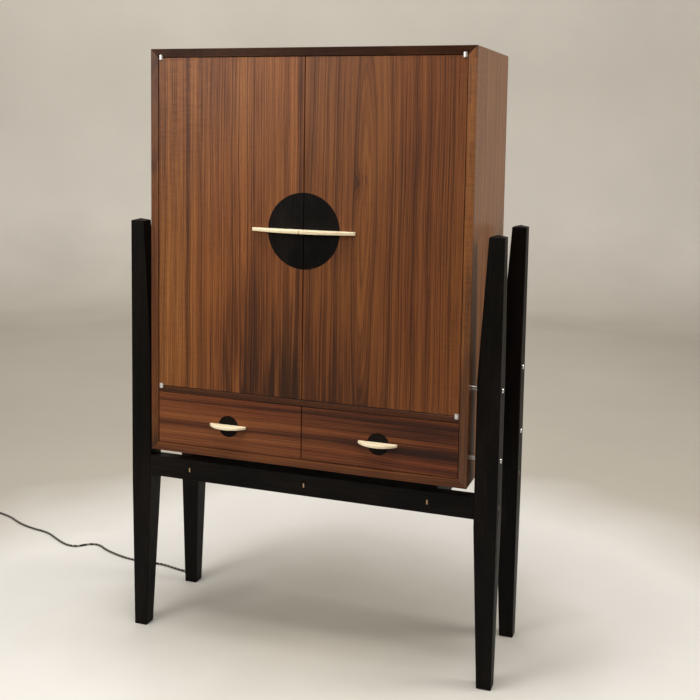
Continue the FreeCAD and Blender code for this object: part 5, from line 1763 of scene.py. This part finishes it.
@dataclass
class CordFittings(SubAssembly):
    """Strain relief, clips and plug of the cord."""

    relief_x: float = -0.375
    relief_y: tuple[float, float, float] = (0.1835, 0.1895, 0.2025)     # case's back, lid's seam and face
    relief_z: tuple[float, float] = (1.016, 1.050)
    relief_half: float = 13.0 * MM
    relief_rounding: float = 2.0 * MM
    relief_seam: float = 0.2 * MM
    lid_rounding: float = 0.25 * MM
    base_rounding: float = 0.4 * MM
    relief_field: tuple[float, float, float] = (1.6 * MM, 0.5 * MM, 0.5 * MM)   # rim, slope and depth
    relief_screw: CrossScrew = CrossScrew(2.4 * MM, 1.3 * MM)
    relief_screw_shift: float = 10.5 * MM
    relief_screw_sunk: float = 1.5 * MM
    boot_y: float = 0.193
    boot_length: float = 26.0 * MM
    boot_radii: tuple[float, float] = (6.0 * MM, 4.0 * MM)
    boot_sides: int = 40
    relief_hidden: float = 1.0 * MM         # length of its boot within the strain relief
    plug_hidden: float = 2.0 * MM           # length of its boot within the plug
    sleeve_hidden: float = 1.0 * MM
    boot_grooves: int = 5
    groove_size: float = 0.82               # a groove's floor, as a share of the boot beside it
    plug_x: float = -1.374
    plug_y: tuple[float, float, float, float] = (0.3105, 0.2965, 0.2805, 0.2625)    # boot to face
    plug_half: float = 17.5 * MM
    plug_neck_half: float = 7.0 * MM
    plug_z: tuple[float, float] = (0.05 * MM, 13.75 * MM)
    plug_rounding: float = 1.5 * MM
    plug_grip: tuple[float, float, float] = (3.0 * MM, 0.6 * MM, 0.6 * MM)      # rim, slope and depth
    pin_radius: float = 2.0 * MM
    pin_bare: float = 0.1 * MM              # how much thinner a pin is than its sleeve
    pin_tip: float = 1.4 * MM
    pin_shift: float = 9.5 * MM
    pin_length: float = 19.0 * MM
    pin_sides: int = 28
    sleeve_length: float = 10.0 * MM

    def field(self, bench: Bench, sizes: tuple[float, float, float]) -> Bench:
        """Sinks the middle of the selected faces, by the widths of rim and slope and the depth."""
        rim, slope, depth = sizes
        return bench.inset(rim).inset(slope, -depth)

    def relief(self) -> bpy.types.Object:
        """Housing with a screwed lid and a ribbed, tapered boot.

        Returns:
            The housing with its boot.
        """
        back, seam, front = self.relief_y
        low, high = self.relief_z
        left, right = self.relief_x - self.relief_half, self.relief_x + self.relief_half
        name = "strain_relief"
        lid = Bench(name).block((left, seam, low), (right, front, high))
        lid.pick(Kind.EDGE, lambda middle, along: middle.y > front - TOUCH).bevel(self.relief_rounding, 4)
        lid.pick(Kind.FACE, lambda middle, normal: normal.y > FACING)
        self.field(lid, self.relief_field).ease(self.lid_rounding, sharper=60.0)
        base = Bench(name + "_base").block((left, back, low), (right, seam - self.relief_seam, high))
        base.ease(self.base_rounding)
        start, along = Vector((self.relief_x, self.boot_y, low)), Vector((0, 0, -1))
        boot = self.boot(name + "_boot", start, along, self.relief_hidden, self.boot_length)
        return lid.join(base, boot).finish(BLACK_PLASTIC, Body.ROOT, "cord_relief")

    def relief_screws(self) -> bpy.types.Object:
        """Two screws of the housing's lid.

        Returns:
            The screws, as one piece.
        """
        middle = sum(self.relief_z) / 2.0
        sunk = self.relief_y[2] - self.relief_screw_sunk
        shifts = (-self.relief_screw_shift, self.relief_screw_shift)
        screws = self.relief_screw.shape("strain_relief_screws")
        screws.repeat([(self.relief_x, sunk, middle + shift) for shift in shifts])
        return screws.finish(NICKEL, Body.ROOT)

    def boot(self, name: str, start: Vector, along: Vector, hidden: float, length: float) -> Bench:
        """Makes a tapered boot with even grooves pressed round it.

        Args:
            name: Name of the piece.
            start: Where it leaves its housing.
            along: Direction away from the housing.
            hidden: Length within the housing.
            length: Length outside.

        Returns:
            The bench that holds it.
        """
        wide, narrow = self.boot_radii
        boot = Bench(name).bar(wide, start - along * hidden, start + along * length, self.boot_sides, narrow)
        pitch = length / (self.boot_grooves + 1)
        for number in range(1, self.boot_grooves + 1):
            boot.seam(start + along * pitch * number, along, pitch * 0.5, self.groove_size)
        return boot

    def prongs(self, name: str, radius: float, start: float, end: float) -> Bench:
        """Makes two round bars along the plug's pins.

        Args:
            name: Name of the piece.
            radius: Their radius.
            start: Their near end.
            end: Their far end.

        Returns:
            The bench that holds them.
        """
        height = sum(self.plug_z) / 2.0
        prongs = Bench(name)
        for shift in (-self.pin_shift, self.pin_shift):
            x = self.plug_x + shift
            prongs.bar(radius, (x, start, height), (x, end, height), self.pin_sides)
        return prongs

    def plug(self) -> bpy.types.Object:
        """Flat plug: shouldered body with a recessed grip, ribbed boot and the pins' sleeves.

        Returns:
            The plug without its pins.
        """
        tail, neck, shoulder, face = self.plug_y
        low, high = self.plug_z
        name = "mains_plug_body"
        left, right = self.plug_x - self.plug_half, self.plug_x + self.plug_half
        body = Bench(name).block((left, face, low), (right, neck, high))
        body.split((self.plug_x, shoulder, low), (0, 1, 0))
        body.pick(Kind.VERTEX, lambda place, normal: place.y > neck - TOUCH)
        body.resize((self.plug_neck_half / self.plug_half, 1, 1), (self.plug_x, neck, 0))
        body.pick(Kind.FACE, lambda middle, normal: abs(normal.z) > FACING)
        self.field(body, self.plug_grip).ease(self.plug_rounding, 4, 50.0)
        start = Vector((self.plug_x, neck, (low + high) / 2.0))
        boot = self.boot(name + "_boot", start, Vector((0, 1, 0)), self.plug_hidden, tail - neck)
        sleeves = self.prongs(name + "_sleeves", self.pin_radius, face + self.sleeve_hidden,
                              face - self.sleeve_length)
        return body.join(boot, sleeves).finish(BLACK_PLASTIC, Body.ROOT, "mains_plug")

    def pins(self) -> bpy.types.Object:
        """The plug's two pins with rounded tips.

        Returns:
            Both pins, as one piece.
        """
        face = self.plug_y[3]
        tip = face - self.pin_length
        pins = self.prongs("mains_plug_pins", self.pin_radius - self.pin_bare, face, tip)
        pins.pick(Kind.EDGE, lambda middle, along: middle.y < tip + TOUCH and abs(along.y) < LEVEL)
        return pins.bevel(self.pin_tip, 4).finish(NICKEL, Body.ROOT, "mains_plug")

    def build(self) -> list[bpy.types.Object]:
        """Makes the strain relief and the plug and dresses the clips."""
        made = [self.relief(), self.relief_screws(), self.plug(), self.pins()]
        return made + [dress("cord_clips", BLACK_PLASTIC, SOFT_BOARD)]


def main() -> None:
    """Builds the scene, sub-assembly by sub-assembly."""
    logging.basicConfig(level=logging.INFO, format="%(message)s")
    for part in (Studio(), CordFittings(), MainsLead(), Case(), Interior(), Fronts(), FoldOutShelf(), Stand(),
                 CornerLight()):
        made = part.build()
        LOG.info("%s: %s", type(part).__name__, ", ".join(piece.name for piece in made))


if __name__ == "__main__":
    main()
